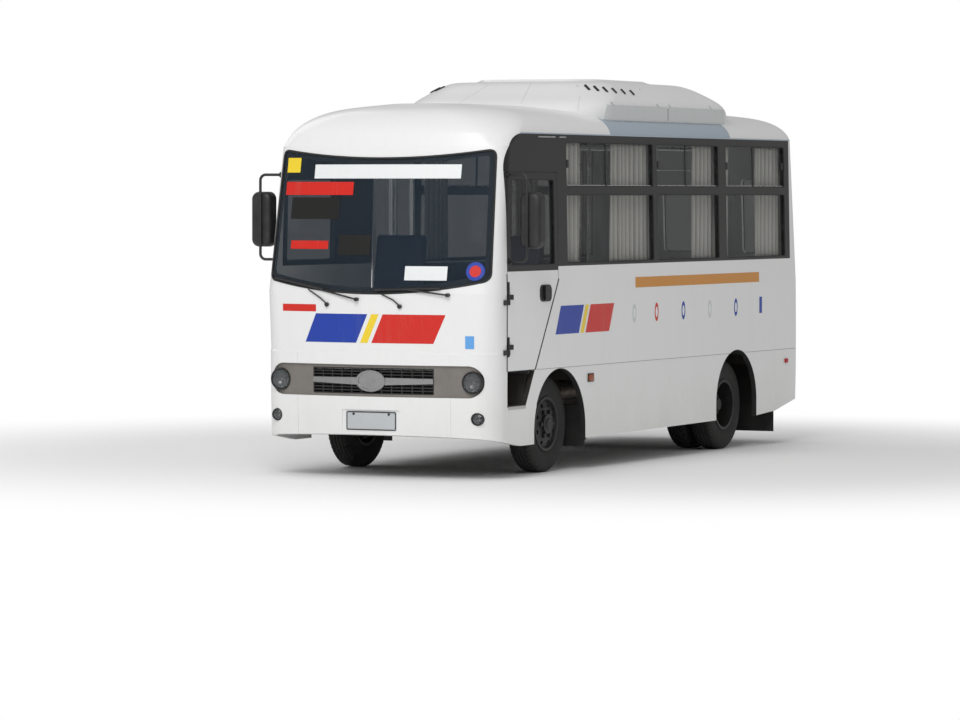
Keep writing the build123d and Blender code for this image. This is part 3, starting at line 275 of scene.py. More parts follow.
# Paints and films: clean colour, dust colour, dust top, dust amount, smooth and rough roughness
paints = {
    "bodyWhite": ((0.80, 0.805, 0.80), (0.52, 0.50, 0.45), 0.85, 0.30, 0.27, 0.55),
    "roofGrey": ((0.36, 0.43, 0.50), (0.42, 0.41, 0.38), 0.75, 0.35, 0.22, 0.5),
    "skirtGrey": ((0.60, 0.62, 0.62), (0.36, 0.35, 0.32), 0.75, 0.4, 0.35, 0.6),
    "bandBlack": ((0.009, 0.0085, 0.008), (0.07, 0.065, 0.06), 0.75, 0.2, 0.36, 0.5),
    "frameBlack": ((0.018, 0.018, 0.018), (0.12, 0.10, 0.08), 1.1, 0.8, 0.45, 0.8),
    "rimDark": ((0.013, 0.013, 0.013), (0.060, 0.055, 0.05), 0.9, 0.4, 0.4, 0.75),
    "filmBlue": ((0.010, 0.045, 0.36), (0.2, 0.2, 0.25), 0.8, 0.4, 0.25, 0.5),
    "filmRed": ((0.62, 0.018, 0.010), (0.4, 0.25, 0.2), 0.8, 0.4, 0.25, 0.5),
    "filmYellow": ((0.85, 0.62, 0.03), (0.5, 0.4, 0.2), 0.8, 0.4, 0.25, 0.5),
    "filmOrange": ((0.62, 0.26, 0.035), (0.5, 0.35, 0.2), 0.8, 0.4, 0.3, 0.55),
    "filmSky": ((0.12, 0.36, 0.75), (0.3, 0.35, 0.4), 0.8, 0.3, 0.3, 0.5),
    "cardWhite": ((0.78, 0.80, 0.80), (0.5, 0.5, 0.48), 0.8, 0.4, 0.45, 0.7),
    # plateWhiteInShade is a white plate darkened to grey-blue: painted shade on the number plates
    "plateWhiteInShade": ((0.50, 0.53, 0.56), (0.40, 0.37, 0.31), 0.9, 0.5, 0.3, 0.6),
}
coats = {"bodyWhite": 0.25, "roofGrey": 0.2, "bandBlack": 0.05}
for name, values in paints.items():
    coat = {"Coat_Weight": coats.get(name, 0.0), "Coat_Roughness": 0.16}
    finish(name, roadDust, values, 0.12, 0.004, **coat)

# Plastics, rubber and metals: base colour, worn colour, grain, amount, smooth and rough roughness
plastics = {
    "bandPlastic": ((0.17, 0.155, 0.14), (0.26, 0.24, 0.22), 900.0, 0.5, 0.42, 0.62),
    "blackPlastic": ((0.014, 0.014, 0.015), (0.06, 0.058, 0.055), 900.0, 0.4, 0.38, 0.6),
    "trimGrey": ((0.52, 0.56, 0.52), (0.60, 0.62, 0.58), 700.0, 0.4, 0.5, 0.7),
    "tyreRubber": ((0.013, 0.013, 0.013), (0.040, 0.038, 0.034), 500.0, 0.5, 0.7, 0.92),
    "sealRubber": ((0.012, 0.012, 0.012), (0.04, 0.04, 0.038), 800.0, 0.5, 0.55, 0.8),
    "floorVinyl": ((0.12, 0.12, 0.125), (0.20, 0.19, 0.17), 300.0, 0.7, 0.5, 0.8),
    "engineIron": ((0.07, 0.068, 0.065), (0.14, 0.11, 0.08), 350.0, 0.7, 0.6, 0.85),
    "lensRed": ((0.42, 0.012, 0.008), (0.50, 0.05, 0.03), 300.0, 0.3, 0.12, 0.25),
    "lensAmber": ((0.30, 0.065, 0.02), (0.30, 0.09, 0.045), 300.0, 0.4, 0.2, 0.4),
    "seatCover": ((0.035, 0.050, 0.11), (0.07, 0.085, 0.14), 420.0, 0.6, 0.42, 0.65),
}
metals = {
    "springSteel": ((0.075, 0.07, 0.065), (0.13, 0.10, 0.075), 300.0, 0.8, 0.45, 0.7),
    "pipeSteel": ((0.20, 0.18, 0.16), (0.18, 0.13, 0.09), 260.0, 0.7, 0.4, 0.7),
    "railSteel": ((0.62, 0.62, 0.61), (0.50, 0.50, 0.49), 500.0, 0.4, 0.22, 0.38),
    "brightTrim": ((0.40, 0.40, 0.405), (0.30, 0.295, 0.285), 500.0, 0.5, 0.18, 0.34),
    "reflector": ((0.42, 0.43, 0.44), (0.30, 0.31, 0.32), 60.0, 0.3, 0.08, 0.2),
    "mirrorGlass": ((0.82, 0.83, 0.83), (0.75, 0.76, 0.76), 40.0, 0.2, 0.02, 0.05),
}
for name, values in plastics.items():
    finish(name, moulded, values, 0.25, 0.0006)
for name, values in metals.items():
    finish(name, moulded, values, 0.1, 0.0004, Metallic=1.0)
finish("seatFrame", moulded, ((0.36, 0.37, 0.38), (0.26, 0.25, 0.24), 400.0, 0.5, 0.35, 0.6))
clothTint = ((0.86, 0.85, 0.80), (0.62, 0.60, 0.55), 1100.0, 0.82, 0.95)
finish("curtainCloth", woven, clothTint, 0.3, 0.0004, place="UV", Sheen_Weight=0.25)
clothTree = mats["curtainCloth"].node_tree
# Painted shade: the per-point pleat value darkens the curtain cloth in its recesses
foldDepth = addNode(clothTree, "ShaderNodeAttribute", attribute_name="fold")
clothGroup = [node for node in clothTree.nodes if node.type == "GROUP"][0]
clothTree.links.new(foldDepth.outputs["Fac"], clothGroup.inputs["PleatShading"])
glassTint = ((0.010, 0.016, 0.020), (0.16, 0.16, 0.15), 1.9, 0.10, 0.02, 0.14)
screenTint = ((0.016, 0.034, 0.055), *glassTint[1:])
lensTint = ((0.10, 0.11, 0.115), (0.3, 0.28, 0.24), 0.9, 0.2, 0.04, 0.2)
finish("sideGlass", roadDust, glassTint, 0.02, 0.002, Alpha=0.20, Coat_Weight=0.5)
finish("screenGlass", roadDust, screenTint, 0.02, 0.002, Alpha=0.26, Coat_Weight=0.5)
finish("lampLens", roadDust, lensTint, 0.1, 0.002, Alpha=0.45, Coat_Weight=1.0)
print("materials", len(mats))

# Which finish each CAD node takes
nodeFinish = {
    "bodyWhite": [
        "front_panel", "front_bumper", "side_left", "side_right", "rear_wall", "roof_front", "roof_rear", "roof_pod",
        "driver_door", "rear_door", "rear_bumper", "entry_leaf_front", "entry_leaf_rear",
    ],
    "roofGrey": ["roof_middle"],
    "skirtGrey": ["pod_skirts"],
    "bandBlack": ["window_bands", "driver_door_frame"],
    "bandPlastic": ["lamp_band"],
    "blackPlastic": ["grille", "door_hinges", "steering_wheel", "wipers", "mirror_left", "mirror_right"],
    "brightTrim": ["grille_bar"],
    "plateWhiteInShade": ["number_plates"],
    "screenGlass": ["windscreen"],
    "sideGlass": ["window_glass", "driver_door_glass", "rear_door_glass", "entry_glass_front", "entry_glass_rear"],
    "frameBlack": ["chassis_frame", "rear_axle", "front_axle", "fuel_tank", "step_wells"],
    "springSteel": ["leaf_springs", "knuckle_left", "knuckle_right", "tie_rod"],
    "pipeSteel": ["exhaust"],
    "engineIron": ["engine"],
    "rimDark": ["rim_front_left", "rim_front_right", "rims_rear_left", "rims_rear_right"],
    "tyreRubber": ["tyre_front_left", "tyre_front_right", "tyres_rear_left", "tyres_rear_right", "mudflaps"],
    "floorVinyl": ["floor"],
    "trimGrey": ["cab_trim"],
    "seatFrame": ["seat_frames"],
    "seatCover": ["seat_cushions"],
    "curtainCloth": ["curtains"],
    "railSteel": ["handrails"],
    "lensRed": ["signal_lamps"],
    "lampLens": ["front_lamps"],
}
for name, members in nodeFinish.items():
    for node in members:
        for place in nodes[node].material_slots:
            place.material = mats[name]


# Mesh helpers
def link(item):
    bpy.context.scene.collection.objects.link(item)
    return item


def fixNormals(piece):
    work = bmesh.new()
    work.from_mesh(piece.data)
    bmesh.ops.remove_doubles(work, verts=work.verts, dist=1e-6)
    bmesh.ops.recalc_face_normals(work, faces=work.faces)
    work.to_mesh(piece.data)
    work.free()


def smoothByAngle(piece, angle):
    work = bmesh.new()
    work.from_mesh(piece.data)
    limit = math.radians(angle)
    for edge in work.edges:
        edge.smooth = len(edge.link_faces) == 2 and edge.calc_face_angle(0) < limit
    work.to_mesh(piece.data)
    work.free()


def addPiece(name, mesh, body):
    piece = link(bpy.data.objects.new(name, mesh))
    fixNormals(piece)
    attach(piece, body)
    return piece


def circle(count, radius=1.0):
    turns = [2 * math.pi * k / count for k in range(count)]
    return [(radius * math.cos(a), radius * math.sin(a)) for a in turns]


class Form:
    # Vertices and faces gathered for one piece, with a material number for each face
    def __init__(self):
        self.verts = []
        self.faces = []
        self.marks = []

    def grid(self, rows, mark=0, closed=False, ringed=False):
        start = len(self.verts)
        wide = len(rows[0])
        for row in rows:
            self.verts.extend(row)
        lines = len(rows)
        for i in range(lines if ringed else lines - 1):
            for j in range(wide if closed else wide - 1):
                a = start + i * wide
                b = start + (i + 1) % lines * wide
                right = (j + 1) % wide
                self.faces.append((a + j, a + right, b + right, b + j))
                self.marks.append(mark)

    def cap(self, ring):
        start = len(self.verts)
        self.verts.extend(ring)
        self.faces.append(tuple(range(start, start + len(ring))))
        self.marks.append(0)

    def prism(self, rings):
        # Closed form through rings of points, capped at both ends
        self.grid(rings, closed=True)
        self.cap(rings[0])
        self.cap(rings[-1])

    def slab(self, rows, move, mark=0):
        # Closed plate between a grid of points and the same grid moved
        back = [[p + Vector(move) for p in row] for row in rows]
        self.grid(rows, mark)
        self.grid(back, mark)
        edge, under = (
            side[0] + [r[-1] for r in side[1:]] + side[-1][-2::-1] + [r[0] for r in side[-2:0:-1]]
            for side in (rows, back)
        )
        self.grid([edge, under], mark, closed=True)

    def turned(self, centre, axis, outline, steps, mark):
        # Turned form: outline points are (distance along the axis, radius)
        side = axis.orthogonal().normalized()
        up = axis.cross(side)
        rows = [
            [centre + axis * distance + (side * a + up * b) * max(radius, 1e-5) for a, b in circle(steps)]
            for distance, radius in outline
        ]
        self.grid(rows, mark, closed=True)

    def piece(self, name, materials, body="body", slot="black_plastic", smooth=False, angle=None):
        mesh = bpy.data.meshes.new(name)
        mesh.from_pydata([tuple(v) for v in self.verts], [], self.faces)
        mesh.update()
        for material in materials:
            mesh.materials.append(mats[material])
        mesh.polygons.foreach_set("material_index", self.marks)
        if smooth or angle:
            mesh.polygons.foreach_set("use_smooth", [True] * len(mesh.polygons))
        piece = addPiece(name, mesh, body)
        if angle:
            smoothByAngle(piece, angle)
        return piece


# Geometry Nodes trees
def newTree(name, inputs):
    tree = bpy.data.node_groups.new(name, "GeometryNodeTree")
    for label, kind in {"Geometry": "Geometry", **inputs, "Material": "Material"}.items():
        tree.interface.new_socket(label, in_out="INPUT", socket_type="NodeSocket" + kind)
    tree.interface.new_socket("Geometry", in_out="OUTPUT", socket_type="NodeSocketGeometry")
    return tree, tree.nodes.new("NodeGroupInput").outputs


def endTree(tree, geometry, given):
    solid = addNode(tree, "GeometryNodeRealizeInstances", [("Geometry", geometry)])
    links = [("Geometry", solid.outputs[0]), ("Material", given["Material"])]
    painted = addNode(tree, "GeometryNodeSetMaterial", links)
    addNode(tree, "NodeGroupOutput", [("Geometry", painted.outputs[0])])
    return tree


def scatter(tree, points, item, turn):
    links = [("Points", points), ("Instance", item), ("Rotation", turn)]
    return addNode(tree, "GeometryNodeInstanceOnPoints", links).outputs[0]


def ringCurve(tree, count, radius):
    links = [("Resolution", count), ("Radius", radius)]
    return addNode(tree, "GeometryNodeCurvePrimitiveCircle", links).outputs[0]


def makeBeadTree():
    # A round bead along each path of a curve
    tree, given = newTree("beadAlongPath", {"Radius": "Float", "Sides": "Int"})
    ring = ringCurve(tree, given["Sides"], given["Radius"])
    links = [("Curve", given["Geometry"]), ("Profile Curve", ring), ("Fill Caps", True)]
    return endTree(tree, addNode(tree, "GeometryNodeCurveToMesh", links).outputs[0], given)


def makeNutTree():
    # Hexagon heads with a washer on every point of a mesh, all turned one way
    tree, given = newTree("nutsOnPoints", {"Across": "Float", "Height": "Float", "Turn": "Vector"})
    washer = times(tree, given["Across"], 1.35), times(tree, given["Height"], 0.35)
    joined = tree.nodes.new("GeometryNodeJoinGeometry")
    for corners, radius, depth in ((6, given["Across"], given["Height"]), (12, *washer)):
        links = [("Vertices", corners), ("Radius", radius), ("Depth", depth)]
        part = addNode(tree, "GeometryNodeMeshCylinder", links)
        tree.links.new(part.outputs["Mesh"], joined.inputs[0])
    return endTree(tree, scatter(tree, given["Geometry"], joined.outputs[0], given["Turn"]), given)


def makeFinTree():
    # A row of equal upright bars
    inputs = {"Count": "Int", "Start": "Vector", "Step": "Vector", "Size": "Vector", "Turn": "Vector"}
    tree, given = newTree("barRow", inputs)
    links = [("Count", given["Count"]), ("Start Location", given["Start"]), ("Offset", given["Step"])]
    line = addNode(tree, "GeometryNodeMeshLine", links)
    bar = addNode(tree, "GeometryNodeMeshCube", [("Size", given["Size"])])
    return endTree(tree, scatter(tree, line.outputs[0], bar.outputs[0], given["Turn"]), given)


def makeRingTree():
    # Rings threaded on each path at an even spacing
    tree, given = newTree("ringsAlongPath", {"Spacing": "Float", "Radius": "Float", "Wire": "Float"})
    links = [("Curve", given["Geometry"]), ("Length", given["Spacing"])]
    places = addNode(tree, "GeometryNodeCurveToPoints", links, mode="LENGTH").outputs
    links = [("Curve", ringCurve(tree, 14, given["Radius"])), ("Profile Curve", ringCurve(tree, 5, given["Wire"]))]
    ring = addNode(tree, "GeometryNodeCurveToMesh", links)
    return endTree(tree, scatter(tree, places[0], ring.outputs[0], places["Rotation"]), given)


beadTree = makeBeadTree()
nutTree = makeNutTree()
finTree = makeFinTree()
ringTree = makeRingTree()


def grow(name, carrier, tree, values, material, body="body"):
    # Runs a tree on a carrier object and keeps the result as a plain mesh
    modifier = carrier.modifiers.new("grow", "NODES")
    modifier.node_group = tree
    for item in tree.interface.items_tree:
        if item.in_out == "INPUT" and item.name in values:
            modifier[item.identifier] = values[item.name]
        if item.in_out == "INPUT" and item.name == "Material":
            modifier[item.identifier] = mats[material]
    bpy.context.view_layer.update()
    graph = bpy.context.evaluated_depsgraph_get()
    mesh = bpy.data.meshes.new_from_object(carrier.evaluated_get(graph))
    mesh.name = name
    bpy.data.objects.remove(carrier)
    return addPiece(name, mesh, body)


def pathCarrier(paths, closed):
    curve = bpy.data.curves.new("path", "CURVE")
    curve.dimensions = "3D"
    for points in paths:
        spline = curve.splines.new("POLY")
        spline.points.add(len(points) - 1)
        for place, point in zip(spline.points, points):
            place.co = (*point, 1.0)
        spline.use_cyclic_u = closed
    return link(bpy.data.objects.new("path", curve))


def pointCarrier(points):
    mesh = bpy.data.meshes.new("points")
    mesh.from_pydata([tuple(p) for p in points], [], [])
    return link(bpy.data.objects.new("points", mesh))


def bead(name, paths, radius, material="sealRubber", body="body", closed=True, count=6):
    return grow(name, pathCarrier(paths, closed), beadTree, {"Radius": radius, "Sides": count}, material, body)


def nuts(name, points, size, turn, material, body):
    values = {"Across": size[0], "Height": size[1], "Turn": turn}
    return grow(name, pointCarrier(points), nutTree, values, material, body)


def roundedPath(a0, a1, b0, b1, r, place, steps=5):
    # Points round a rounded rectangle, each put in space by place(a, b)
    points = []
    for ca, cb, start in ((a1 - r, b1 - r, 0), (a0 + r, b1 - r, 90), (a0 + r, b0 + r, 180), (a1 - r, b0 + r, 270)):
        for k in range(steps + 1):
            angle = math.radians(start + 90 * k / steps)
            points.append(place(ca + r * math.cos(angle), cb + r * math.sin(angle)))
    return points


def domed(outline, rises, out):
    # Rings over an outline: each rises along out and draws in towards the middle
    centre = sum(outline, Vector()) / len(outline)
    return [[p + (centre - p) * pull + Vector(out) * lift for p in outline] for lift, pull in rises]


# Camera, floor and light
view = {
    "place": (16.0167, -30.8261, 2.2495), "turn": 0.454436, "down": 0.038018, "roll": 0.001409,
    "focal": 4448.96, "wide": 960, "high": 720, "sensor": 36, "end": 400,
}
camera = link(bpy.data.objects.new("camera", bpy.data.cameras.new("camera")))
camera.location = (view["place"][0], view["place"][1] + shell["frontY"], view["place"][2])
camera.rotation_euler = (
    Matrix.Rotation(view["turn"], 3, "Z")
    @ Matrix.Rotation(math.pi / 2 - view["down"], 3, "X")
    @ Matrix.Rotation(view["roll"], 3, "Z")
).to_euler()
camera.data.sensor_width = view["sensor"]
camera.data.lens = view["sensor"] * view["focal"] / view["wide"]
camera.data.clip_end = view["end"]
bpy.context.scene.camera = camera
bpy.context.scene.view_settings.view_transform = "Standard"

light = {
    "world": 0.55, "throughGlass": 0.12, "reflected": 0.34, "shine": 0.35, "size": 9, "aim": (0, 0, 1.2),
    "lamps": {"keyLight": ((2.5, -15, 12), 1400), "fillLight": ((-11, 4, 9), 240)},
}
floor = {"radius": 90.0, "steps": 96, "z": -0.0005, "pale": 0.92, "rough": 0.9, "fade": (3.6, 8.0)}


def makeWorld():
    # White for the camera, dimmer for reflections and behind glass
    world = bpy.data.worlds.new("studio")
    bpy.context.scene.world = world
    world.use_nodes = True
    tree = world.node_tree
    back = tree.nodes["Background"]
    path = tree.nodes.new("ShaderNodeLightPath")
    behindGlass = mathNode(tree, "GREATER_THAN", path.outputs["Transparent Depth"], 0.5)
    seen = mapRange(tree, behindGlass, 0.0, 1.0, 1.0 - light["world"], light["throughGlass"] - light["world"])
    direct = times(tree, path.outputs["Is Camera Ray"], seen)
    shine = times(tree, path.outputs["Is Glossy Ray"], light["reflected"] - light["world"])
    back.inputs["Color"].default_value = (1, 1, 1, 1)
    tree.links.new(plus(tree, plus(tree, direct, shine), light["world"]), back.inputs["Strength"])


def makeLamps():
    for name, (place, power) in light["lamps"].items():
        data = bpy.data.lights.new(name, "AREA")
        data.energy = power
        data.size = light["size"]
        data.specular_factor = light["shine"]
        lamp = link(bpy.data.objects.new(name, data))
        lamp.location = place
        lamp.rotation_euler = (Vector(light["aim"]) - Vector(place)).to_track_quat("-Z", "Y").to_euler()


def makeFloor():
    form = Form()
    form.cap([Vector((x, y, floor["z"])) for x, y in circle(floor["steps"], floor["radius"])])
    mesh = bpy.data.meshes.new("floorPlane")
    mesh.from_pydata([tuple(v) for v in form.verts], [], form.faces)
    plane = link(bpy.data.objects.new("floorPlane", mesh))
    material = bpy.data.materials.new("floorPale")
    material.use_nodes = True
    tree = material.node_tree
    principled = tree.nodes["Principled BSDF"]
    principled.inputs["Base Color"].default_value = (floor["pale"], floor["pale"], floor["pale"], 1)
    principled.inputs["Roughness"].default_value = floor["rough"]
    glow = addNode(tree, "ShaderNodeEmission", [("Color", (1, 1, 1, 1)), ("Strength", 1.0)])
    coordinates = tree.nodes.new("ShaderNodeTexCoord")
    distance = addNode(tree, "ShaderNodeVectorMath", [(0, coordinates.outputs["Object"])], operation="LENGTH")
    ends = [("Value", distance.outputs["Value"]), ("From Min", floor["fade"][0]), ("From Max", floor["fade"][1])]
    far = addNode(tree, "ShaderNodeMapRange", ends, interpolation_type="SMOOTHSTEP")
    path = tree.nodes.new("ShaderNodeLightPath")
    factor = times(tree, far.outputs["Result"], path.outputs["Is Camera Ray"])
    mixed = addNode(tree, "ShaderNodeMixShader", [(0, factor), (1, principled.outputs[0]), (2, glow.outputs[0])])
    tree.links.new(mixed.outputs[0], tree.nodes["Material Output"].inputs["Surface"])
    mesh.materials.append(material)


makeWorld()
makeLamps()
makeFloor()
print("camera, floor and light")

# Tyres: side walls with fine rings, shoulder slots and four wavy grooves round the tread
tyre = {
    "radius": 0.3875, "width": 0.19, "bead": 0.205, "beadIn": 0.022, "bulge": 0.300, "wallTop": (0.014, 0.017),
    "crownFrom": 0.026, "crownDrop": 0.004, "cuts": (0.026, 0.033, 0.040),
    "pitches": 56, "pitchParts": (0.0, 0.30, 0.38, 0.92), "waves": 28, "wave": 0.0022,
    "grooves": (0.050, 0.080, 0.110, 0.140), "groove": 0.0075, "deep": 0.010,
    "slotDeep": 0.007, "slots": (0.012, 0.041), "rings": ((0.232, 0.00112), (0.338, 0.00096)), "ringWide": 0.0045,
    "grooveFloor": 0.6,
}


def arcThrough(a, b, c, steps):
    # Points from a to c on the circle through a, b and c, all in one plane
    ax, ay, bx, by, cx, cy = *a, *b, *c
    d = 2 * (ax * (by - cy) + bx * (cy - ay) + cx * (ay - by))
    ux = ((ax**2 + ay**2) * (by - cy) + (bx**2 + by**2) * (cy - ay) + (cx**2 + cy**2) * (ay - by)) / d
    uy = ((ax**2 + ay**2) * (cx - bx) + (bx**2 + by**2) * (ax - cx) + (cx**2 + cy**2) * (bx - ax)) / d
    radius = math.hypot(ax - ux, ay - uy)
    first = math.atan2(ay - uy, ax - ux)
    last = math.atan2(cy - uy, cx - ux)
    middle = math.atan2(by - uy, bx - ux)
    turn = (last - first) % (2 * math.pi)
    if (middle - first) % (2 * math.pi) > turn:
        turn -= 2 * math.pi
    return [
        (ux + radius * math.cos(first + turn * k / steps), uy + radius * math.sin(first + turn * k / steps))
        for k in range(steps + 1)
    ]


def tyreProfile():
    # (distance from the inner face, radius, groove depth, wavy) from bead to bead
    width, radius, edge = tyre["width"], tyre["radius"], tyre["crownFrom"]
    top = (tyre["wallTop"][0], radius - tyre["wallTop"][1])
    wall = []
    for x, r in arcThrough((tyre["beadIn"], tyre["bead"]), (0.0, tyre["bulge"]), top, 16):
        rise = sum(high * math.exp(-(((r - at) / tyre["ringWide"]) ** 2)) for at, high in tyre["rings"])
        wall.append((max(x - rise, 0.0), r, 0.0, False))
    drop = radius - tyre["crownDrop"]
    crown = arcThrough((edge, drop), (width / 2, radius), (width - edge, drop), 40)
    tread = [(x, 0.0, False) for x in (*tyre["cuts"], width / 2, *(width - x for x in tyre["cuts"]))]
    half, bottom = tyre["groove"] / 2, tyre["groove"] / 2 * tyre["grooveFloor"]
    for at in tyre["grooves"]:
        tread += [(at - half, 0.0, True), (at - bottom, 1.0, True), (at + bottom, 1.0, True), (at + half, 0.0, True)]
    top = []
    for x, depth, wavy in sorted(tread):
        near = min(crown, key=lambda p: abs(p[0] - x))
        top.append((x, near[1], depth * tyre["deep"], wavy))
    return wall + top + [(width - x, *rest) for x, *rest in reversed(wall)]


def addTyre(form, innerX, centreY, side):
    parts = tyre["pitchParts"]
    angles = [
        (2 * math.pi * (k + part) / tyre["pitches"], part in parts[:2])
        for k in range(tyre["pitches"]) for part in parts
    ]
    low, high = tyre["slots"]
    rows = []
    for x, r, depth, wavy in tyreProfile():
        row = []
        for angle, slotted in angles:
            fall = tyre["slotDeep"] if slotted and low < min(x, tyre["width"] - x) < high else 0.0
            shift = tyre["wave"] * math.sin(angle * tyre["waves"]) if wavy else 0.0
            out = r - depth - fall
            place = side * (innerX + x + shift)
            row.append(Vector((place, centreY + out * math.cos(angle), tyre["radius"] + out * math.sin(angle))))
        rows.append(row)
    form.grid(rows, closed=True, ringed=True)


wheels = {
    "face": 0.904, "twinGap": 0.045, "frontY": along(1.334), "rearY": along(4.977),
    "nuts": 6, "frontNutR": 0.104, "frontNutX": 0.9015, "rearNutR": 0.122, "rearNutX": 0.709, "nut": (0.0165, 0.022),
}
outerX = wheels["face"] - tyre["width"]
twinX = outerX - wheels["twinGap"] - tyre["width"]
for side, word in bothSides:
    for end, body, node, inners in (
        ("front", f"wheel_front_{word}", f"tyre_front_{word}", (outerX,)),
        ("rear", f"wheels_rear_{word}", f"tyres_rear_{word}", (outerX, twinX)),
    ):
        centreY = wheels[f"{end}Y"]
        form = Form()
        for inner in inners:
            addTyre(form, inner, centreY, side)
        treaded = form.piece(f"{end}Tread_{word}", ["tyreRubber"], body, "tyre_rubber", angle=32)
        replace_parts(treaded, node)
        ring = [
            Vector((side * wheels[f"{end}NutX"], centreY + a, tyre["radius"] + b))
            for a, b in circle(wheels["nuts"], wheels[f"{end}NutR"])
        ]
        nuts(f"{end}WheelNuts_{word}", ring, wheels["nut"], (0, math.pi / 2, 0), "rimDark", body)
print("wheels")

# Front lamps: turned parts as (steps, material, [(distance out, share of the lamp's radius)])
headlamps = [(0.843, 0.761, 0.0875), (0.880, 0.478, 0.0495)]
lampParts = {
    "housing": (40, 0, [(-0.092, 0), (-0.092, 0.7), (-0.03, 0.985), (0.003, 0.99)]),
    "bezel": (40, 0, [(0.003, 0.99), (0.008, 0.95), (0.007, 0.89), (0.000, 0.85), (-0.014, 0.84)]),
    "bowl": (40, 1, [(-0.014, 0.84), (-0.034, 0.74), (-0.052, 0.5), (-0.060, 0.2), (-0.061, 0)]),
    "bulb": (16, 2, [(-0.061, 0.10), (-0.036, 0.13), (-0.028, 0.09), (-0.025, 0)]),
    "lens": (40, 3, [
        (0.011, 0), (0.010, 0.35), (0.006, 0.65), (0.000, 0.85),
        (-0.003, 0.85), (0.003, 0.65), (0.007, 0.35), (0.008, 0),
    ]),
}
form = Form()
for side, _ in bothSides:
    for x, z, r in headlamps:
        centre = Vector((side * x, frontSurface(side * x, z), z))
        for steps, mark, outline in lampParts.values():
            form.turned(centre, Vector((0, -1, 0)), [(out, r * share) for out, share in outline], steps, mark)
lampFinish = ["blackPlastic", "reflector", "cardWhite", "lampLens"]
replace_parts(form.piece("frontLampSet", lampFinish, slot="lamp_lens", angle=40), "front_lamps")

# Radiator seen through the grille: a dark core with upright fins
core = {"low": 0.560, "high": 0.846, "half": 0.680, "y": along(0.120), "thick": 0.03}
fin = {"count": 135, "wide": 0.0015, "deep": 0.014, "out": 0.006, "edge": 0.005}
form = Form()
ends = (core["y"], core["y"] + core["thick"])
rows = [[Vector((x, y, core["low"])) for x in (-core["half"], core["half"])] for y in ends]
form.slab(rows, (0, 0, core["high"] - core["low"]))
form.piece("radiatorCore", ["sealRubber"], slot="engine_iron")
fins = {
    "Count": fin["count"], "Turn": (0, 0, 0),
    "Start": (fin["edge"] - core["half"], core["y"] - fin["out"], (core["low"] + core["high"]) / 2),
    "Step": (2 * (core["half"] - fin["edge"]) / (fin["count"] - 1), 0, 0),
    "Size": (fin["wide"], fin["deep"], core["high"] - core["low"] - 2 * fin["edge"]),
}
grow("radiatorFins", pointCarrier([(0, 0, 0)]), finTree, fins, "engineIron")
print("lamps and radiator")


def onFront(depth):
    return lambda x, z: Vector((x, frontSurface(x, z) + depth, z))


def onSide(side, lift):
    return lambda y, z: Vector((side * (sideX(z) + lift), along(y), z))


def onRear(lift):
    return lambda x, z: Vector((x, rearSurface(x, z) + lift, z))


def upright(y):
    return lambda x, z: Vector((x, y, z))


def sideways(x):
    return lambda y, z: Vector((x, along(y), z))


def patchRows(corners, wide, high, place):
    # Grid between four corners: low left, low right, high right, high left
    (a0, b0), (a1, b1), (a2, b2), (a3, b3) = corners
    rows = []
    for j in range(high + 1):
        t = j / high
        row = []
        for i in range(wide + 1):
            s = i / wide
            a = (1 - t) * ((1 - s) * a0 + s * a1) + t * ((1 - s) * a3 + s * a2)
            b = (1 - t) * ((1 - s) * b0 + s * b1) + t * ((1 - s) * b3 + s * b2)
            row.append(place(a, b))
        rows.append(row)
    return rows


# Thin plates on the body: layer is (how far off the surface, thickness), parts is (cells across, cells up)
def frontPatch(form, corners, layer, parts, mark=0):
    form.slab(patchRows(corners, *parts, onFront(layer[0])), (0, layer[1], 0), mark)


def sidePatch(form, corners, side, layer, parts, mark=0):
    form.slab(patchRows(corners, *parts, onSide(side, layer[0])), (side * layer[1], 0, 0), mark)


def slanted(a0, a1, z0, z1, lean=0.0):
    return [(a0, z0), (a1, z0), (a1 + lean, z1), (a0 + lean, z1)]


# Windscreen: rubber seal, printed border and blank cards behind the glass
screen = {
    "topX": 0.934, "topZ": 2.574, "lowX": 0.968, "lowZ": 1.551, "dip": 0.070, "sag": 0.105, "corner": 0.060,
    "bend": (0, 0.17, 0.34, 0.5, 0.66, 0.83, 1), "steps": 28, "rise": 12,
    "seal": 0.0085, "border": (0.004, 0.047), "borderDepth": (0.0112, 0.0122), "card": (0.0030, 0.0008),
}


def screenPath(inset, depth):
    # Points round the opening drawn in by inset, from the top left, laid depth behind the surface
    tx, tz = screen["topX"] - inset, screen["topZ"] - inset
    lx, lz = screen["lowX"] - inset, screen["lowZ"] + inset
    corner = max(screen["corner"] - inset * 0.5, 0.02)
    share = corner / (tz - lz)
    topEnd, lowEnd = tx - corner, lx - corner
    steps, rise = screen["steps"], screen["rise"]

    def top(x):
        return x, tz - screen["dip"] * (1 - (x / tx) ** 2)

    def low(x):
        return x, lz - screen["sag"] * (1 - (x / lx) ** 2)

    def post(t):
        return tx + (lx - tx) * t, tz + (lz - tz) * t

    def bend(*ends):
        return [
            tuple((1 - t) ** 2 * a + 2 * t * (1 - t) * b + t * t * c for a, b, c in zip(*ends)) for t in screen["bend"]
        ]

    right = bend(top(topEnd), (tx, tz), post(share))
    right += [post(share + (1 - 2 * share) * k / rise) for k in range(1, rise)]
    right += bend(post(1 - share), (lx, lz), low(lowEnd))
    points = [top(-topEnd + 2 * topEnd * k / steps) for k in range(steps)] + right
    points += [low(lowEnd - 2 * lowEnd * k / steps) for k in range(1, steps)]
    points += [(-x, z) for x, z in reversed(right)][:-1]
    return [onFront(depth)(x, z) for x, z in points]


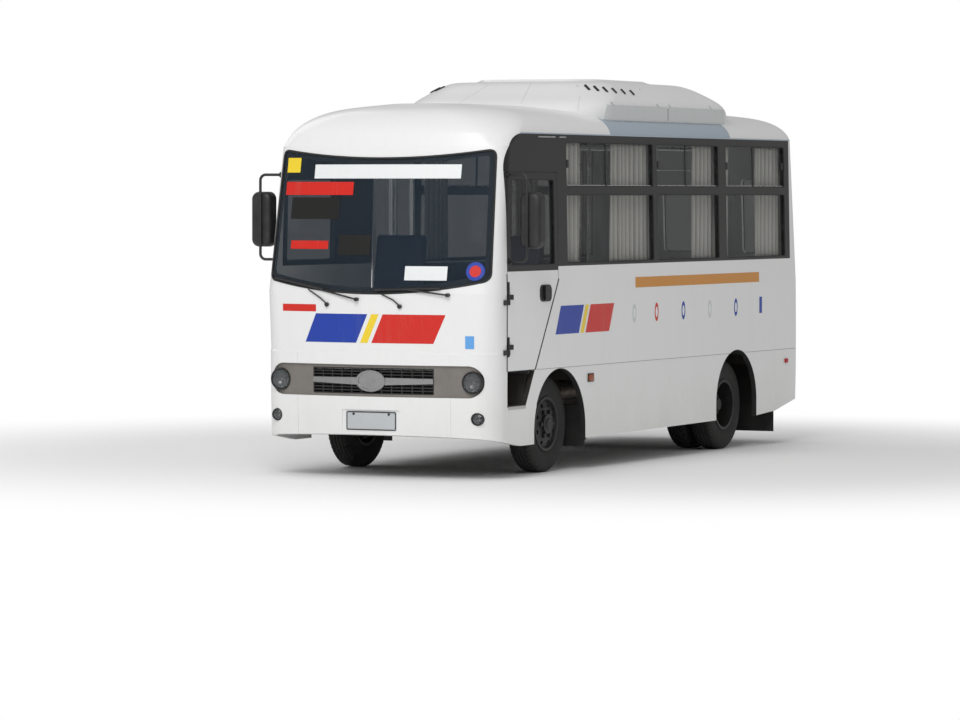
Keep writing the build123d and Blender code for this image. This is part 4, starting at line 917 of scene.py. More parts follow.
bead("screenSeal", [screenPath(0.001, 0.0015)], screen["seal"], count=8)
form = Form()
(outer, inner), (near, far) = screen["border"], screen["borderDepth"]
rows = [screenPath(*pair) for pair in ((outer, near), (inner, near), (inner, far), (outer, far))]
form.grid(rows, closed=True, ringed=True)
form.piece("screenBorder", ["sealRubber"], angle=30)

cards = {
    "cardYellow": ("filmYellow", -0.885, -0.755, 2.392, 2.508),
    "cardLong": ("cardWhite", -0.61, 0.675, 2.345, 2.455),
    "cardRed": ("filmRed", -0.880, -0.235, 2.215, 2.318),
    "cardDark": ("bandBlack", -0.81, -0.35, 2.025, 2.195),
    "cardDeepRed": ("filmRed", -0.785, -0.425, 1.790, 1.855),
    "cardSmall": ("bandBlack", -0.33, -0.04, 1.745, 1.905),
    "cardPaper": ("cardWhite", 0.278, 0.628, 1.552, 1.662),
}
for name, (material, *span) in cards.items():
    form = Form()
    frontPatch(form, slanted(*span), screen["card"], (12, 4))
    form.piece(name, [material], slot="plate")
disc = {
    "x": 0.85, "z": 1.625, "steps": 32, "pulls": (1.0, 0.66, 0.33, 0.02), "thick": 0.0005,
    "rings": ((0.073, 0.0031), (0.045, 0.0025)),
}
form = Form()
for mark, (radius, depth) in enumerate(disc["rings"]):
    rings = [
        [onFront(depth)(disc["x"] + a, disc["z"] + b) for a, b in circle(disc["steps"], radius * pull)]
        for pull in disc["pulls"]
    ]
    back = [[p + Vector((0, disc["thick"], 0)) for p in ring] for ring in reversed(rings)]
    form.grid(rings + back, mark, closed=True, ringed=True)
form.piece("screenDisc", ["filmBlue", "filmRed"], slot="plate")
print("windscreen")

# Plain coloured films on the front and the sides: (from, to, material) along y, or across x on the front
films = {
    "front": ((-0.600, -0.130, 0), (-0.095, -0.030, 1), (0.005, 0.530, 2)), "frontZ": (1.060, 1.285), "lean": 0.10,
    "side": ((0.0, 0.44, 0), (0.475, 0.535, 1), (0.57, 1.03, 2)), "sideZ": (1.107, 1.333), "from": {1: 1.24, -1: 0.62},
    "panel": (2.80, 5.47, 1.452, 1.538), "block": (5.478, 5.538, 1.176, 1.320),
    "layer": (0.0003, 0.0008), "frontLayer": (-0.0012, 0.0010),
}
ovals = {
    "places": ((2.778, 1), (3.233, 2), (3.796, 0), (4.366, 1), (4.943, 0)), "z": 1.240, "half": (0.039, 0.078),
    "layers": ((1.0, 0.0003), (0.55, 0.0006)), "steps": 28, "thick": 0.0006, "hole": 0.02,
}
form = Form()
for x0, x1, mark in films["front"]:
    frontPatch(form, slanted(x0, x1, *films["frontZ"], films["lean"]), films["frontLayer"], (16, 4), mark)
form.piece("frontBars", ["filmBlue", "filmYellow", "filmRed"], slot="body_paint")
for side, word in bothSides:
    form = Form()
    start, layer = films["from"][side], films["layer"]
    for y0, y1, mark in films["side"]:
        bar = slanted(start + y0, start + y1, *films["sideZ"], films["lean"])
        sidePatch(form, bar, side, layer, (8, 4), mark)
    sidePatch(form, slanted(*films["panel"]), side, layer, (24, 4), 3)
    sidePatch(form, slanted(*films["block"]), side, layer, (3, 4), 0)
    form.piece(f"sideBars_{word}", ["filmBlue", "filmYellow", "filmRed", "filmOrange"], slot="body_paint")
    form = Form()
    wide, high = ovals["half"]
    lift = Vector((side * ovals["thick"], 0, 0))
    for y, mark in ovals["places"]:
        for (scale, proud), shade in zip(ovals["layers"], (mark, 3)):
            centre = onSide(side, proud)(y, ovals["z"])
            ring = [centre + Vector((0, wide * a, high * b)) for a, b in circle(ovals["steps"], scale)]
            middle = [centre + (p - centre) * ovals["hole"] for p in ring]
            rows = [ring, middle, [p + lift for p in middle], [p + lift for p in ring]]
            form.grid(rows, shade, closed=True, ringed=True)
    form.piece(f"sideOvals_{word}", ["filmBlue", "skirtGrey", "filmRed", "cardWhite"], slot="body_paint")
print("films")

# Rubber seals round every pane, the sliders' stiles, catches and the grey line under the upper lights
panes = {
    1: [(1.480, 3.195), (3.278, 4.592), (4.756, 6.092)],
    -1: [(2.790, 4.592), (4.756, 6.092)],
}
pane = {
    "low": (1.672, 2.220), "light": (2.285, 2.640), "corner": 0.022, "inset": 0.002, "seal": 0.0045,
    "lift": -0.005, "driverLift": -0.004, "rearLift": -0.002,
    "cab": (0.430, 1.240, 1.690, 2.340), "driver": (0.430, 1.240, 1.665, 2.340),
    "stiles": {1: (2.275, 3.909, 5.392), -1: (3.909, 5.392)}, "stile": 0.026, "stileLayer": (-0.0155, 0.007),
    "stileGap": 0.004,
    "catches": (1.520, 3.318, 4.796, 6.052), "catch": 0.032, "catchZ": (2.435, 2.500), "catchLayer": (-0.0155, 0.012),
    "lineZ": (0.001, 0.013), "lineGap": 0.01, "lineLayer": (-0.0155, 0.004),
    "rear": ((0.470, 0.820), (-0.820, -0.470)), "rearZ": (1.690, 2.360), "rearCorner": 0.03,
    "door": (-0.310, 0.310, 1.700, 2.300), "doorCorner": 0.04, "rearSeal": 0.005,
}


def surfaceAt(node, origin, heading):
    # First point of a CAD node met from origin along heading
    turned = nodes[node].matrix_world.inverted()
    hit, spot, _, _ = nodes[node].ray_cast(turned @ Vector(origin), turned.to_3x3() @ Vector(heading))
    return nodes[node].matrix_world @ spot if hit else None


def paneLoop(a0, a1, z0, z1, place, corner=pane["corner"]):
    inset = pane["inset"]
    return roundedPath(a0 + inset, a1 - inset, z0 + inset, z1 - inset, corner, place)


for side, word in bothSides:
    spans = [(*ends, *heights) for ends in panes[side] for heights in (pane["low"], pane["light"])]
    spans += [pane["cab"]] if side < 0 else []
    bead(f"paneSeals_{word}", [paneLoop(*span, onSide(side, pane["lift"])) for span in spans], pane["seal"])
    form = Form()
    z0, z1 = pane["light"]
    for y in pane["stiles"][side]:
        edge, gap = pane["stile"] / 2, pane["stileGap"]
        stile = slanted(y - edge, y + edge, z0 + gap, z1 - gap)
        sidePatch(form, stile, side, pane["stileLayer"], (2, 6))
    for y in pane["catches"]:
        if any(y0 < y < y1 for y0, y1 in panes[side]):
            catch = slanted(y - pane["catch"] / 2, y + pane["catch"] / 2, *pane["catchZ"])
            sidePatch(form, catch, side, pane["catchLayer"], (1, 1))
    for y0, y1 in panes[side]:
        line = slanted(y0 + pane["lineGap"], y1 - pane["lineGap"], *(z0 + rise for rise in pane["lineZ"]))
        sidePatch(form, line, side, pane["lineLayer"], (8, 1), 1)
    form.piece(f"paneStiles_{word}", ["blackPlastic", "railSteel"])
driverLoop = paneLoop(*pane["driver"], onSide(1, pane["driverLift"]))
bead("driverPaneSeal", [driverLoop], pane["seal"], body="door_driver")
onBack = onRear(pane["rearLift"])
rearLoops = [paneLoop(*ends, *pane["rearZ"], onBack, pane["rearCorner"]) for ends in pane["rear"]]
bead("rearPaneSeals", rearLoops, pane["rearSeal"])
doorLoop = paneLoop(*pane["door"], onBack, pane["doorCorner"])
bead("rearDoorSeal", [doorLoop], pane["rearSeal"], body="door_rear")
print("seals")

# Curtains: cloth gathered on a rod below the roof, closed sheets with deep pleats
# The last pair sets the painted shade across a pleat: its value on the rod's line and its rise towards the outside
drape = {
    "rodX": 0.9197, "rodZ": 2.655, "top": 2.646, "low": 1.664, "pitch": 0.085, "ampTop": 0.0145, "ampLow": 0.0215,
    "perPleat": 12, "rows": 26, "thick": 0.0009, "ring": 0.0105, "wire": 0.0016, "ringDrop": 0.003,
    "stretch": (0.72, 1.28), "swell": (0.75, 1.0), "sway": 0.35, "lean": 0.25, "fold": (0.55, 0.75),
}
curtainSpans = {
    1: [(1.470, 1.900), (2.500, 3.450), (4.200, 5.000), (5.600, 6.180)],
    -1: [(2.780, 3.200), (4.200, 5.000), (5.600, 6.180)],
}
random.seed(7)


def hangCurtain(name, side, y0, y1):
    pleats = max(4, round((y1 - y0) / drape["pitch"]))
    each = drape["perPleat"]
    columns = pleats * each
    stretch = [random.uniform(*drape["stretch"]) for _ in range(pleats)]
    swell = [random.uniform(*drape["swell"]) for _ in range(pleats + 1)]
    sway = random.uniform(0, 6.28)
    centres = []
    for k in range(columns + 1):
        whole, part = divmod(k, each)
        done = sum(stretch[:whole]) + (stretch[whole] * part / each if whole < pleats else 0)
        centres.append(y0 + (y1 - y0) * done / sum(stretch))
    front = []
    for i in range(drape["rows"] + 1):
        t = i / drape["rows"]
        z = drape["top"] + (drape["low"] - drape["top"]) * t
        row = []
        for k in range(columns + 1):
            turn = 2 * math.pi * k / each
            size = drape["ampTop"] + (drape["ampLow"] - drape["ampTop"]) * t
            size *= swell[min(k // each, pleats)]
            x = drape["rodX"] + size * math.sin(turn + drape["sway"] * math.sin(3 * t + sway))
            y = min(max(centres[k] + drape["lean"] * size * math.sin(2 * turn) * t, y0), y1)
            row.append(Vector((side * x, along(y), z)))
        front.append(row)
    wide = [sum((row[k + 1] - row[k]).length for k in range(columns)) for row in front]
    flatWide = sum(wide) / len(wide)
    flatLong = sum((front[i + 1][columns // 2] - front[i][columns // 2]).length for i in range(drape["rows"]))
    form = Form()
    form.slab(front, (side * drape["thick"], 0, 0))
    cloth = form.piece(name, ["curtainCloth"], slot="curtain_cloth", smooth=True)
    layer = cloth.data.uv_layers.new(name="cloth")
    for loop in cloth.data.loops:
        point = cloth.data.vertices[loop.vertex_index].co
        layer.data[loop.index].uv = ((point.y - along(y0)) * flatWide / (y1 - y0), point.z)
    # Painted shade: a per-point value, low where the cloth lies deep in a pleat and high where it bulges out, that
    # darkens the cloth's colour
    depth = cloth.data.attributes.new("fold", "FLOAT", "POINT")
    for vertex in cloth.data.vertices:
        share = (abs(vertex.co.x) - drape["rodX"]) / drape["ampLow"]
        depth.data[vertex.index].value = min(1.0, max(0.0, drape["fold"][0] + drape["fold"][1] * share))
    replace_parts(cloth, "curtains")
    first, last = (
        Vector((side * drape["rodX"], along(y0 + (y1 - y0) * share), drape["rodZ"] - drape["ringDrop"]))
        for share in (0.5 / pleats, (pleats - 0.5) / pleats)
    )
    values = {"Spacing": (last - first).length / (pleats - 1), "Radius": drape["ring"], "Wire": drape["wire"]}
    carrier = pathCarrier([[first, last]], False)
    ringPiece = grow(name + "Rings", carrier, ringTree, values, "railSteel")
    return flatWide, flatLong


for side, word in bothSides:
    for number, (y0, y1) in enumerate(curtainSpans[side], 1):
        size = hangCurtain(f"curtain_{word}_{number}", side, y0, y1)
        print("curtain", word, number, round(size[0], 3), round(size[1], 3))

# Cushions: crowned pads whose sides pull in, with sewn channels and piping
pad = {
    "crown": 0.014, "pinch": 0.006, "round": 0.026, "cell": 0.022, "channelDeep": 0.006, "channelWide": 0.007,
    "channelFrom": 0.4, "piping": 0.0032, "pipeAt": 0.55, "pipeStep": 0.03,
}


def softShape(point, half, soft, channels):
    # Moves a point of a plain box onto the stuffed cushion's skin
    axis, sign = soft
    rounding = min(pad["round"], 0.9 * min(half))
    core = Vector([max(-(h - rounding), min(h - rounding, c)) for h, c in zip(half, point)])
    away = Vector(point) - core
    spot = core + (away.normalized() * rounding if away.length > 1e-9 else away)
    across = [k for k in range(3) if k != axis]
    share = [spot[k] / half[k] for k in across]
    high = min(1.0, max(0.0, (spot[axis] * sign / half[axis] + 1) / 2))
    fall = 1 - math.sqrt(max(0.0, (1 - share[0] ** 2) * (1 - share[1] ** 2)))
    middle = 1 - (2 * high - 1) ** 2
    long = across[0] if half[across[0]] >= half[across[1]] else across[1]
    groove = sum(math.exp(-(((spot[long] - c) / pad["channelWide"]) ** 2)) for c in channels)
    groove *= pad["channelDeep"] * max(0.0, high - pad["channelFrom"]) / (1 - pad["channelFrom"])
    for k, other in ((across[0], share[1]), (across[1], share[0])):
        spot[k] -= math.copysign(pad["pinch"] * (1 - other**2) * middle, spot[k]) * abs(spot[k]) / half[k]
    spot[axis] -= sign * (pad["crown"] * fall * high + groove)
    return spot


def addCushion(name, half, soft, channels, place, seams):
    form = Form()
    counts = [max(4, round(2 * h / pad["cell"])) for h in half]
    axis, sign = soft

    def spotOn(flat, out, u, v):
        # Point on one face of the box: flat is its axis, out how far along it, u and v across
        point = [u, v]
        point.insert(flat, out)
        return point

    def level(k, i):
        return half[k] * (2 * i / counts[k] - 1)

    for flat in range(3):
        a, b = [k for k in range(3) if k != flat]
        for end in (-1, 1):
            form.grid([
                [
                    place(softShape(spotOn(flat, end * half[flat], level(a, i), level(b, j)), half, soft, channels))
                    for j in range(counts[b] + 1)
                ]
                for i in range(counts[a] + 1)
            ])
    piece = form.piece(name, ["seatCover"], slot="seat_cover", angle=60)
    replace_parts(piece, "seat_cushions")
    a, b = [half[k] for k in range(3) if k != axis]
    rise = sign * half[axis] * pad["pipeAt"]
    path = roundedPath(-a, a, -b, b, pad["round"] * 0.4, lambda u, v: spotOn(axis, rise, u, v), 3)
    dense = []
    for k, point in enumerate(path):
        after = path[(k + 1) % len(path)]
        steps = max(1, round(math.dist(point, after) / pad["pipeStep"]))
        dense += [[p + (q - p) * i / steps for p, q in zip(point, after)] for i in range(steps)]
    seams.append([place(softShape(point, half, soft, channels)) for point in dense])


def fromBox(low, high):
    centre = (Vector(low) + Vector(high)) / 2
    return [(b - a) / 2 for a, b in zip(low, high)], lambda p: centre + p


bench = {
    "spans": {1: [(1.950, 3.330), (3.360, 4.740), (4.770, 6.150)], -1: [(2.800, 4.460), (4.490, 6.150)]},
    "pad": (0.550, 0.9297, 1.2253, 1.300), "back": (0.9172, 0.9712, 1.320, 1.640), "gap": 0.005, "parts": 6,
}
cab = {
    "x": 0.530, "half": 0.220, "y": (1.030, 1.495), "z": (1.1303, 1.260), "channels": [-0.09, 0.09],
    "back": [0.220, 0.045, 0.290], "backAt": (1.545, 1.600), "lean": -10, "backChannels": [-0.15, 0.0, 0.15],
}
seams = []
for side, word in bothSides:
    for number, (y0, y1) in enumerate(bench["spans"][side], 1):
        for kind, soft in (("pad", (2, 1)), ("back", (0, -side))):
            x0, x1, z0, z1 = bench[kind]
            ends = sorted((side * x0, side * x1))
            low, high = (ends[0], along(y0 + bench["gap"]), z0), (ends[1], along(y1 - bench["gap"]), z1)
            half, place = fromBox(low, high)
            channels = [half[1] * (2 * k / bench["parts"] - 1) for k in range(1, bench["parts"])]
            addCushion(f"bench{kind.title()}_{word}_{number}", half, soft, channels, place, seams)
    low, high = (
        (side * cab["x"] + cab["half"] * end, along(y), z) for end, y, z in zip((-1, 1), cab["y"], cab["z"])
    )
    half, place = fromBox(low, high)
    addCushion(f"cabPad_{word}", half, (2, 1), cab["channels"], place, seams)
    seat = Matrix.Translation((side * cab["x"], along(cab["backAt"][0]), cab["backAt"][1]))
    lean = seat @ Matrix.Rotation(math.radians(cab["lean"]), 4, "X")
    addCushion(f"cabBack_{word}", cab["back"], (1, -1), cab["backChannels"], lambda p, m=lean: m @ p, seams)
bead("cushionPiping", seams, pad["piping"], "seatCover", count=5)
print("cushions")


# Roof fittings, put where the camera sees them on the CAD surfaces
def seenAt(node, px, py, lift=0.0):
    right, down = px - view["wide"] / 2, py - view["high"] / 2
    turn = camera.rotation_euler.to_matrix()
    heading = (turn @ Vector((right / view["focal"], -down / view["focal"], -1))).normalized()
    spot = surfaceAt(node, camera.location, heading)
    return None if spot is None else spot - heading * lift


def seenPath(node, ends, steps, lift=0.0):
    # Points along a line drawn through the picture, left out where the node isn't seen
    spots = []
    for k in range(steps + 1):
        t = k / steps * (len(ends) - 1)
        i = min(int(t), len(ends) - 2)
        px, py = (a + (b - a) * (t - i) for a, b in zip(ends[i], ends[i + 1]))
        spots.append(seenAt(node, px, py, lift))
    return [spot for spot in spots if spot is not None]


def mirrored(paths):
    return paths + [[Vector((-p.x, p.y, p.z)) for p in path] for path in paths]


# Roof fairing: panel seams, vent slots with their dots, clips over the skirts, a seam in the skirt
roofMarks = {
    "seams": [[(531.5, 83), (527, 91), (521, 103)], [(580, 96), (578.5, 103), (578, 111)]], "seam": 0.0022,
    "slots": [(585.2 + 8.9 * k, 85.6 + 1.05 * k) for k in range(6)], "slotLean": (4.2, 4.4), "slot": 0.0125,
    "dots": [(577, 86), (639, 89.4)], "dot": (0, 0.012, 0), "clip": (0, 0.030, -0.018), "clipR": 0.007,
    "clips": [(612.3, 103.6), (657.6, 105.6), (669.8, 106.2), (710.2, 107.8)],
    "skirtSeam": [(668, 109), (668, 121)], "skirtR": 0.0025,
}
seamPaths = mirrored([path for path in (seenPath("roof_pod", ends, 8) for ends in roofMarks["seams"]) if len(path) > 2])
bead("fairingSeams", seamPaths, roofMarks["seam"], "skirtGrey", closed=False, count=5)
acrossX, downY = roofMarks["slotLean"]
slots = [seenPath("roof_pod", [(px, py), (px + acrossX, py + downY)], 3) for px, py in roofMarks["slots"]]
slots = [path for path in slots if len(path) > 1]
bead("fairingSlots", mirrored(slots), roofMarks["slot"], closed=False)
marks = []
for kind, half in (("dots", "dot"), ("clips", "clip")):
    reach = Vector(roofMarks[half])
    spots = [seenAt("roof_pod", *mark) for mark in roofMarks[kind]]
    marks += [[spot - reach, spot + reach] for spot in spots if spot is not None]
bead("fairingClips", mirrored(marks), roofMarks["clipR"], "skirtGrey", closed=False)
skirtSeam = seenPath("pod_skirts", roofMarks["skirtSeam"], 4)
if len(skirtSeam) > 1:
    bead("skirtSeams", mirrored([skirtSeam]), roofMarks["skirtR"], closed=False, count=5)
print("fairing", len(seamPaths), len(slots), len(marks), len(skirtSeam))

# Dark rubber lines laid along the side crease as painted shade, where the step's shade falls, and the dark line of the
# gap round the driver's door, both laid just inside the surface
trim = {
    "crease": 0.841, "creaseShadeR": 0.0026, "from": 0.90, "to": 6.33, "flat": 1.008, "inset": 0.0012, "step": 0.03,
    "gapR": 0.0028, "gapIn": -0.0020, "gapStep": 0.05,
    "gap": [(0.360, 0.841), (0.860, 0.841), (1.297, 1.549), (1.297, 2.397), (0.360, 2.397)],
}


def sideRun(node, side, y0, y1, z):
    # Stretches of a level line that lie on the flat of a side, broken at arches and doors
    runs = [[]]
    count = round((y1 - y0) / trim["step"])
    for k in range(count + 1):
        y = y0 + (y1 - y0) * k / count
        spot = surfaceAt(node, (side * 1.5, along(y), z), (-side, 0, 0))
        if spot is not None and abs(spot.x) > trim["flat"]:
            runs[-1].append(Vector((side * (abs(spot.x) - trim["inset"]), along(y), z)))
        else:
            runs.append([])
    return [run for run in runs if len(run) > 2]


# Painted shade: dark lines along the crease on the flat of each side
creaseShadeRuns = []
for side, word in bothSides:
    creaseShadeRuns += sideRun(f"side_{word}", side, trim["from"], trim["to"], trim["crease"])
bead("creaseShadeLines", creaseShadeRuns, trim["creaseShadeR"], closed=False, count=5)
gapPath = []
for k, (y0, z0) in enumerate(trim["gap"]):
    y1, z1 = trim["gap"][(k + 1) % len(trim["gap"])]
    steps = max(1, round(math.hypot(y1 - y0, z1 - z0) / trim["gapStep"]))
    spans = [(y0 + (y1 - y0) * i / steps, z0 + (z1 - z0) * i / steps) for i in range(steps)]
    gapPath += [onSide(1, trim["gapIn"])(y, z) for y, z in spans]
bead("driverDoorSeal", [gapPath], trim["gapR"])

# Drip rail over the windows and the black lining of the step's rear edge
drip = {"z": 2.7040, "x": 0.9935, "r": 0.0055, "from": 0.64, "to": 6.225, "parts": 40}
stepEdge = {"y": 0.55, "z": (0.566, 0.834), "parts": 9, "x": (0.976, 1.0185), "proud": 0.0004, "thick": 0.0012}
reach = (drip["to"] - drip["from"]) / drip["parts"]
rail = [Vector((drip["x"], along(drip["from"] + reach * k), drip["z"])) for k in range(drip["parts"] + 1)]
bead("dripRails", mirrored([rail]), drip["r"], "roofGrey", closed=False, count=8)
form = Form()
lining = []
z0, z1 = stepEdge["z"]
for z in (z0 + (z1 - z0) * k / stepEdge["parts"] for k in range(stepEdge["parts"] + 1)):
    spot = surfaceAt("side_left", (1.0, along(stepEdge["y"]), z), (0, 1, 0))
    if spot is not None:
        lining.append([Vector((x, spot.y - stepEdge["proud"], z)) for x in stepEdge["x"]])
print("step lining", len(lining))
if len(lining) > 1:
    form.slab(lining, (0, -stepEdge["thick"], 0))
    form.piece("stepLining", ["frameBlack"], slot="black_paint")

# Door handle's bowl plate, door edges, the step's bright lip, plate frames and bolts, blank front labels
handle = {
    "y": (0.945, 1.165), "z": (1.3735, 1.5085), "corner": 0.045,
    "rises": ((-0.001, 0.0), (0.004, 0.02), (0.006, 0.10), (0.003, 0.22), (0.002, 0.99)),
}
form = Form()
rings = domed(roundedPath(*handle["y"], *handle["z"], handle["corner"], onSide(1, 0.0), 6), handle["rises"], (1, 0, 0))
form.grid(rings, closed=True)
form.cap(rings[0])
form.piece("handlePlate", ["blackPlastic"], "door_driver", angle=40)
doorEdge = {
    "layer": (0.0003, 0.0012),
    "front": [(0.3435, 0.842), (0.3565, 0.842), (0.3565, 1.600), (0.3435, 1.600)],
    "rear": [(0.8595, 0.842), (0.8720, 0.842), (1.3120, 1.551), (1.3000, 1.551)],
}
form = Form()
for end in ("front", "rear"):
    sidePatch(form, doorEdge[end], 1, doorEdge["layer"], (1, 10))
form.piece("doorTrim", ["sealRubber"])
lip = {"place": (0.370, 0.689, 0.542, 0.566), "layer": (0.0003, 0.0022)}
form = Form()
sidePatch(form, slanted(*lip["place"]), 1, lip["layer"], (4, 2))
form.piece("stepLip", ["railSteel"], slot="bright_trim")
plate = {
    "half": 0.220, "high": 0.075, "z": 0.450, "y": 0.022, "rearZ": 0.510, "edge": 0.006, "corner": 0.012,
    "frame": 0.0045, "bolt": (0.155, 0.022), "boltSize": (0.0075, 0.006), "lifts": (0.0005, 0.002),
}
for word, y, z, out in (
    ("front", along(plate["y"]), plate["z"], -1),
    ("rear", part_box("number_plates")[1].y, plate["rearZ"], 1),
):
    wide, high = plate["half"] - plate["edge"], plate["high"] - plate["edge"]
    rim = roundedPath(-wide, wide, z - high, z + high, plate["corner"], upright(y + out * plate["lifts"][0]))
    bead(f"plateFrame_{word}", [rim], plate["frame"], "blackPlastic")
    wide, high = plate["bolt"][0], plate["high"] - plate["bolt"][1]
    bolts = [Vector((side * wide, y + out * plate["lifts"][1], z + high)) for side in (-1, 1)]
    nuts(f"plateBolts_{word}", bolts, plate["boltSize"], (math.pi / 2, 0, 0), "springSteel", "body")
labels = {
    "labelRed": ("filmRed", (283, 303.6), (316, 311.4)), "labelSky": ("filmSky", (465.2, 336.2), (474.2, 349.2)),
}
for name, (material, *ends) in labels.items():
    a, b = (seenAt("front_panel", *end) for end in ends)
    form = Form()
    frontPatch(form, slanted(*sorted((a.x, b.x)), *sorted((a.z, b.z))), films["frontLayer"], (6, 3))
    form.piece(name, [material], slot="body_paint")
print("trims")

# Marker lenses domed over their bases, tail lamp sections, mirror glasses, bright strips over the band
lens = {
    "x": 1.029, "corner": 0.012, "after": 0.006, "base": (0.028, 0.013, 0.014), "baseLayer": (0.0003, 0.0032),
    "rises": ((-0.010, 0.0), (0.0005, 0.0), (0.0025, 0.06), (0.0045, 0.20), (0.005625, 0.6), (0.00585, 0.99)),
    "front": {"z": (0.720, 0.760), "before": (0.020, 0.007), "tint": "lensAmber"},
    "rear": {"z": (0.720, 0.750), "before": (0.003, 0.003), "tint": "lensRed"},
    "places": [
        (1, 1.887, 1.957, "front"), (-1, 1.790, 1.860, "front"), (1, 6.080, 6.130, "rear"), (-1, 6.080, 6.130, "rear"),
    ],
}
for number, (side, y0, y1, kind) in enumerate(lens["places"], 1):
    (z0, z1), (ahead, under) = lens[kind]["z"], lens[kind]["before"]
    ends = (y0 - ahead, y1 + lens["after"], z0 - under, z1 + lens["after"])
    outline = roundedPath(*ends, lens["corner"], sideways(side * lens["x"]))
    if kind == "front":
        base = Form()
        ahead, behind, over = lens["base"]
        sidePatch(base, slanted(y0 - ahead, y1 + behind, z0 - over, z1 + over), side, lens["baseLayer"], (2, 2))
        base.piece(f"markerBase_{number}", ["sealRubber"])
    form = Form()
    rings = domed(outline, lens["rises"], (side, 0, 0))
    form.grid(rings, closed=True)
    form.cap(rings[0])
    form.piece(f"markerLens_{number}", [lens[kind]["tint"]], slot="signal_lens", angle=40)

glass = {
    "x": 1.190, "half": 0.078, "z": (1.822, 2.218), "corner": 0.03, "from": (1.2, 2.02),
    "rises": ((-0.001, 0.0), (0.0022, 0.0), (0.0028, 0.03), (0.0020, 0.05), (0.0022, 0.99)),
}
for (side, word), body in zip(bothSides, ("door_driver", "body")):
    x, half = side * glass["x"], glass["half"]
    spot = surfaceAt(f"mirror_{word}", (x, along(glass["from"][0]), glass["from"][1]), (0, -1, 0))
    if spot is None:
        continue
    outline = roundedPath(x - half, x + half, *glass["z"], glass["corner"], upright(spot.y), 6)
    rings = domed(outline, glass["rises"], (0, 1, 0))
    form = Form()
    form.grid(rings[:4], 0, closed=True)
    form.grid(rings[3:], 1, closed=True)
    form.cap(rings[0])
    form.piece(f"mirrorGlass_{word}", ["blackPlastic", "mirrorGlass"], body, angle=30)

strip = {"marks": (((538.0, 136.6), (555.0, 136.9)), ((559.0, 137.0), (565.5, 137.1))), "lift": 0.003, "r": 0.006}
strips = [seenPath("window_bands", ends, 4, strip["lift"]) for ends in strip["marks"]]
strips = [path for path in strips if len(path) > 1]
if strips:
    bead("bandStrips", mirrored(strips), strip["r"], "railSteel", closed=False)
print("lenses, mirrors", len(strips))

tailSections = {
    "x": (0.800, 0.890), "parts": [("lensAmber", 0.985, 1.068), ("cardWhite", 0.712, 0.775)], "thick": 0.0025,
    "proud": 0.0002, "wide": 6, "high": 4,
}
for number, (tint, z0, z1) in enumerate(tailSections["parts"], 1):
    form = Form()
    for side, _ in bothSides:
        x0, x1 = (side * x for x in tailSections["x"])
        rows = patchRows(
            slanted(x0, x1, z0, z1), tailSections["wide"], tailSections["high"],
            lambda x, z: surfaceAt("signal_lamps", (x, 5.0, z), (0, -1, 0)) + Vector((0, tailSections["proud"], 0)),
        )
        form.slab(rows, (0, tailSections["thick"], 0))
    form.piece(f"tailSection_{number}", [tint], slot="signal_lens")


# Black edging on the cut edges of the wheel arches: each arch as distance, height and radius
arches = {
    "front": (1.334, 0.347, 0.488), "rear": (4.977, 0.417, 0.452), "x": (0.9725, 1.0162), "proud": 0.0002,
    "thick": 0.0022, "under": 0.995, "past": 0.012, "steps": 40, "posts": 6,
}


def lowestAt(names, x, y):
    hits = [surfaceAt(name, (x, y, -0.5), (0, 0, 1)) for name in names]
    return min([spot.z for spot in hits if spot is not None], default=None)


for side, word in bothSides:
    form = Form()
    for end in ("front", "rear"):
        y, z, r = arches[end]
        beside = [along(y + sign * (r + arches["past"])) for sign in (-1, 1)]
        low = [lowestAt([f"side_{word}", "front_bumper", "rear_wall"], side * arches["under"], at) for at in beside]
        posts, steps = arches["posts"], arches["steps"]
        points = [(y - r, low[0] + (z - low[0]) * k / posts, -1, 0) for k in range(posts)]
        for a in (math.pi * k / steps for k in range(steps + 1)):
            points.append((y - r * math.cos(a), z + r * math.sin(a), -math.cos(a), math.sin(a)))
        points += [(y + r, z + (low[1] - z) * k / posts, 1, 0) for k in range(1, posts + 1)]
        (x0, x1), proud, thick = arches["x"], arches["proud"], arches["thick"]
        rows = [
            [Vector((side * x, along(a) - depth * da, b - depth * db)) for a, b, da, db in points]
            for x, depth in ((x0, proud), (x1, proud), (x1, thick), (x0, thick))
        ]
        form.grid(rows, ringed=True)
        form.cap([row[0] for row in rows])
        form.cap([row[-1] for row in rows])
    form.piece(f"archEdging_{word}", ["sealRubber"], angle=40)

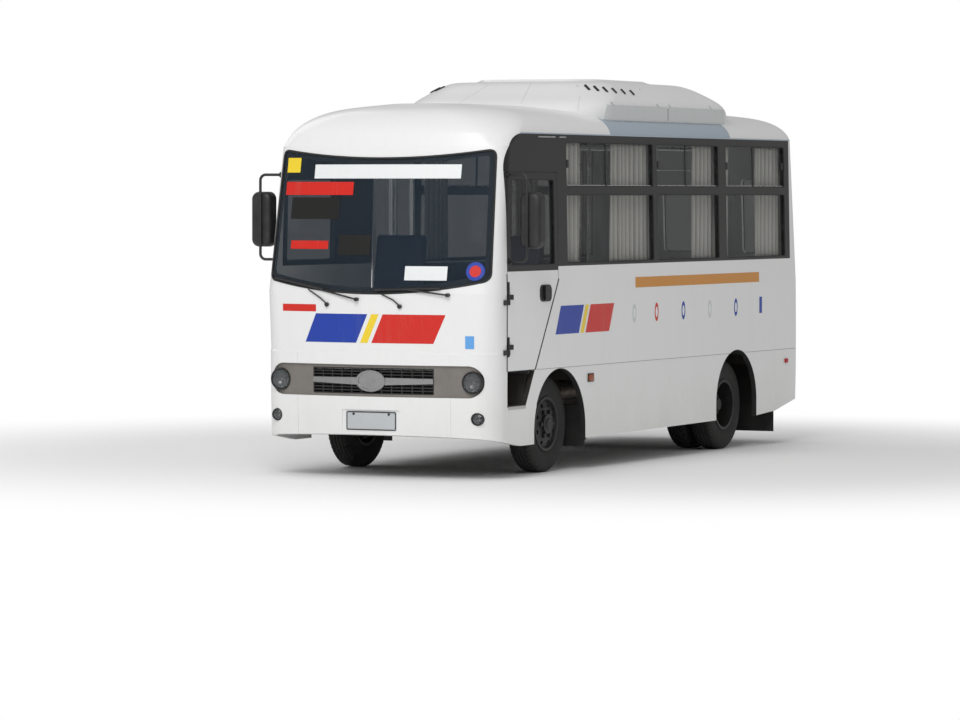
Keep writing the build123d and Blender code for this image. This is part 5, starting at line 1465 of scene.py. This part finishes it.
# Long hinge leaves on the driver's door: plates, pins and the straps that cover them
leaf = {
    "y": (0.3620, 0.3860), "spans": [(0.955, 1.110), (1.385, 1.540)], "layer": (0.0003, 0.006),
    "straps": (1.010, 1.400), "over": (0.0018, 0.0404), "pin": (1.034, 0.360, 0.0106), "steps": 24,
    "cover": (1.0205, 1.0362, 0.3625, 0.4365),
}
form = Form()
for span in leaf["spans"]:
    sidePatch(form, slanted(*leaf["y"], *span), 1, leaf["layer"], (1, 4))
pinX, pinY, pinR = leaf["pin"]
pin = [(pinX + a, pinY + b) for a, b in circle(leaf["steps"], pinR)]
for z in leaf["straps"]:
    for outline in (pin, slanted(*leaf["cover"])):
        form.prism([[Vector((x, along(y), z + over)) for x, y in outline] for over in leaf["over"]])
form.piece("hingeLeaves", ["sealRubber"], "door_driver")


# Rubber flaps behind the front wheels
def hangFlap(name, side, faces, x0, middle, x1, z0, split, z1):
    # Flat and upright, narrower above the height where it is split
    outline = [(x0, z0), (x1, z0), (x1, split), (middle, split), (middle, z1), (x0, z1)]
    form = Form()
    form.prism([[Vector((side * x, along(y), z)) for x, z in outline] for y in faces])
    form.piece(name, ["sealRubber"], slot="flap_rubber")


flap = {"y": (1.838, 1.846), "x": (0.750, 0.970, 1.000), "z": (0.185, 0.350, 0.520)}
for side, word in bothSides:
    hangFlap(f"frontFlap_{word}", side, flap["y"], *flap["x"], *flap["z"])

# Second pair of wiper pivots with their link arms
links = {
    "arms": [[(327.3, 304.4), (320.5, 298.0), (313.5, 293.0)], [(400.0, 306.5), (393.0, 300.0), (386.0, 296.5)]],
    "lift": 0.014, "armR": 0.0055, "reach": 1.5, "steps": 20,
    "boss": ((-0.002, 0.017), (0.0176, 0.017), (0.022, 0.0119)),
}
linkPaths = [seenPath("front_panel", ends, 4, links["lift"]) for ends in links["arms"]]
linkPaths = [path + [path[-1] + (path[-1] - path[-2]) * links["reach"]] for path in linkPaths if len(path) > 2]
if linkPaths:
    bead("wiperLinks", linkPaths, links["armR"], closed=False, count=8)
form = Form()
for spot in (seenAt("front_panel", *ends[0]) for ends in links["arms"]):
    if spot is not None:
        form.prism([
            [spot + Vector((a, -out, b)) for a, b in circle(links["steps"], radius)] for out, radius in links["boss"]
        ])
form.piece("wiperBosses", ["blackPlastic"], angle=40)

# Outer strips of the rear flaps, beside the CAD ones
flapEdge = {"y": (5.8325, 5.8370), "x": (0.925, 0.972, 1.012), "z": (0.1155, 0.360), "gap": 0.001}
for side, word in bothSides:
    (z0, z1) = flapEdge["z"]
    split = lowestAt([f"side_{word}"], side * arches["under"], along(flapEdge["y"][0])) - flapEdge["gap"]
    hangFlap(f"rearFlap_{word}", side, flapEdge["y"], *flapEdge["x"], z0, split, z1)
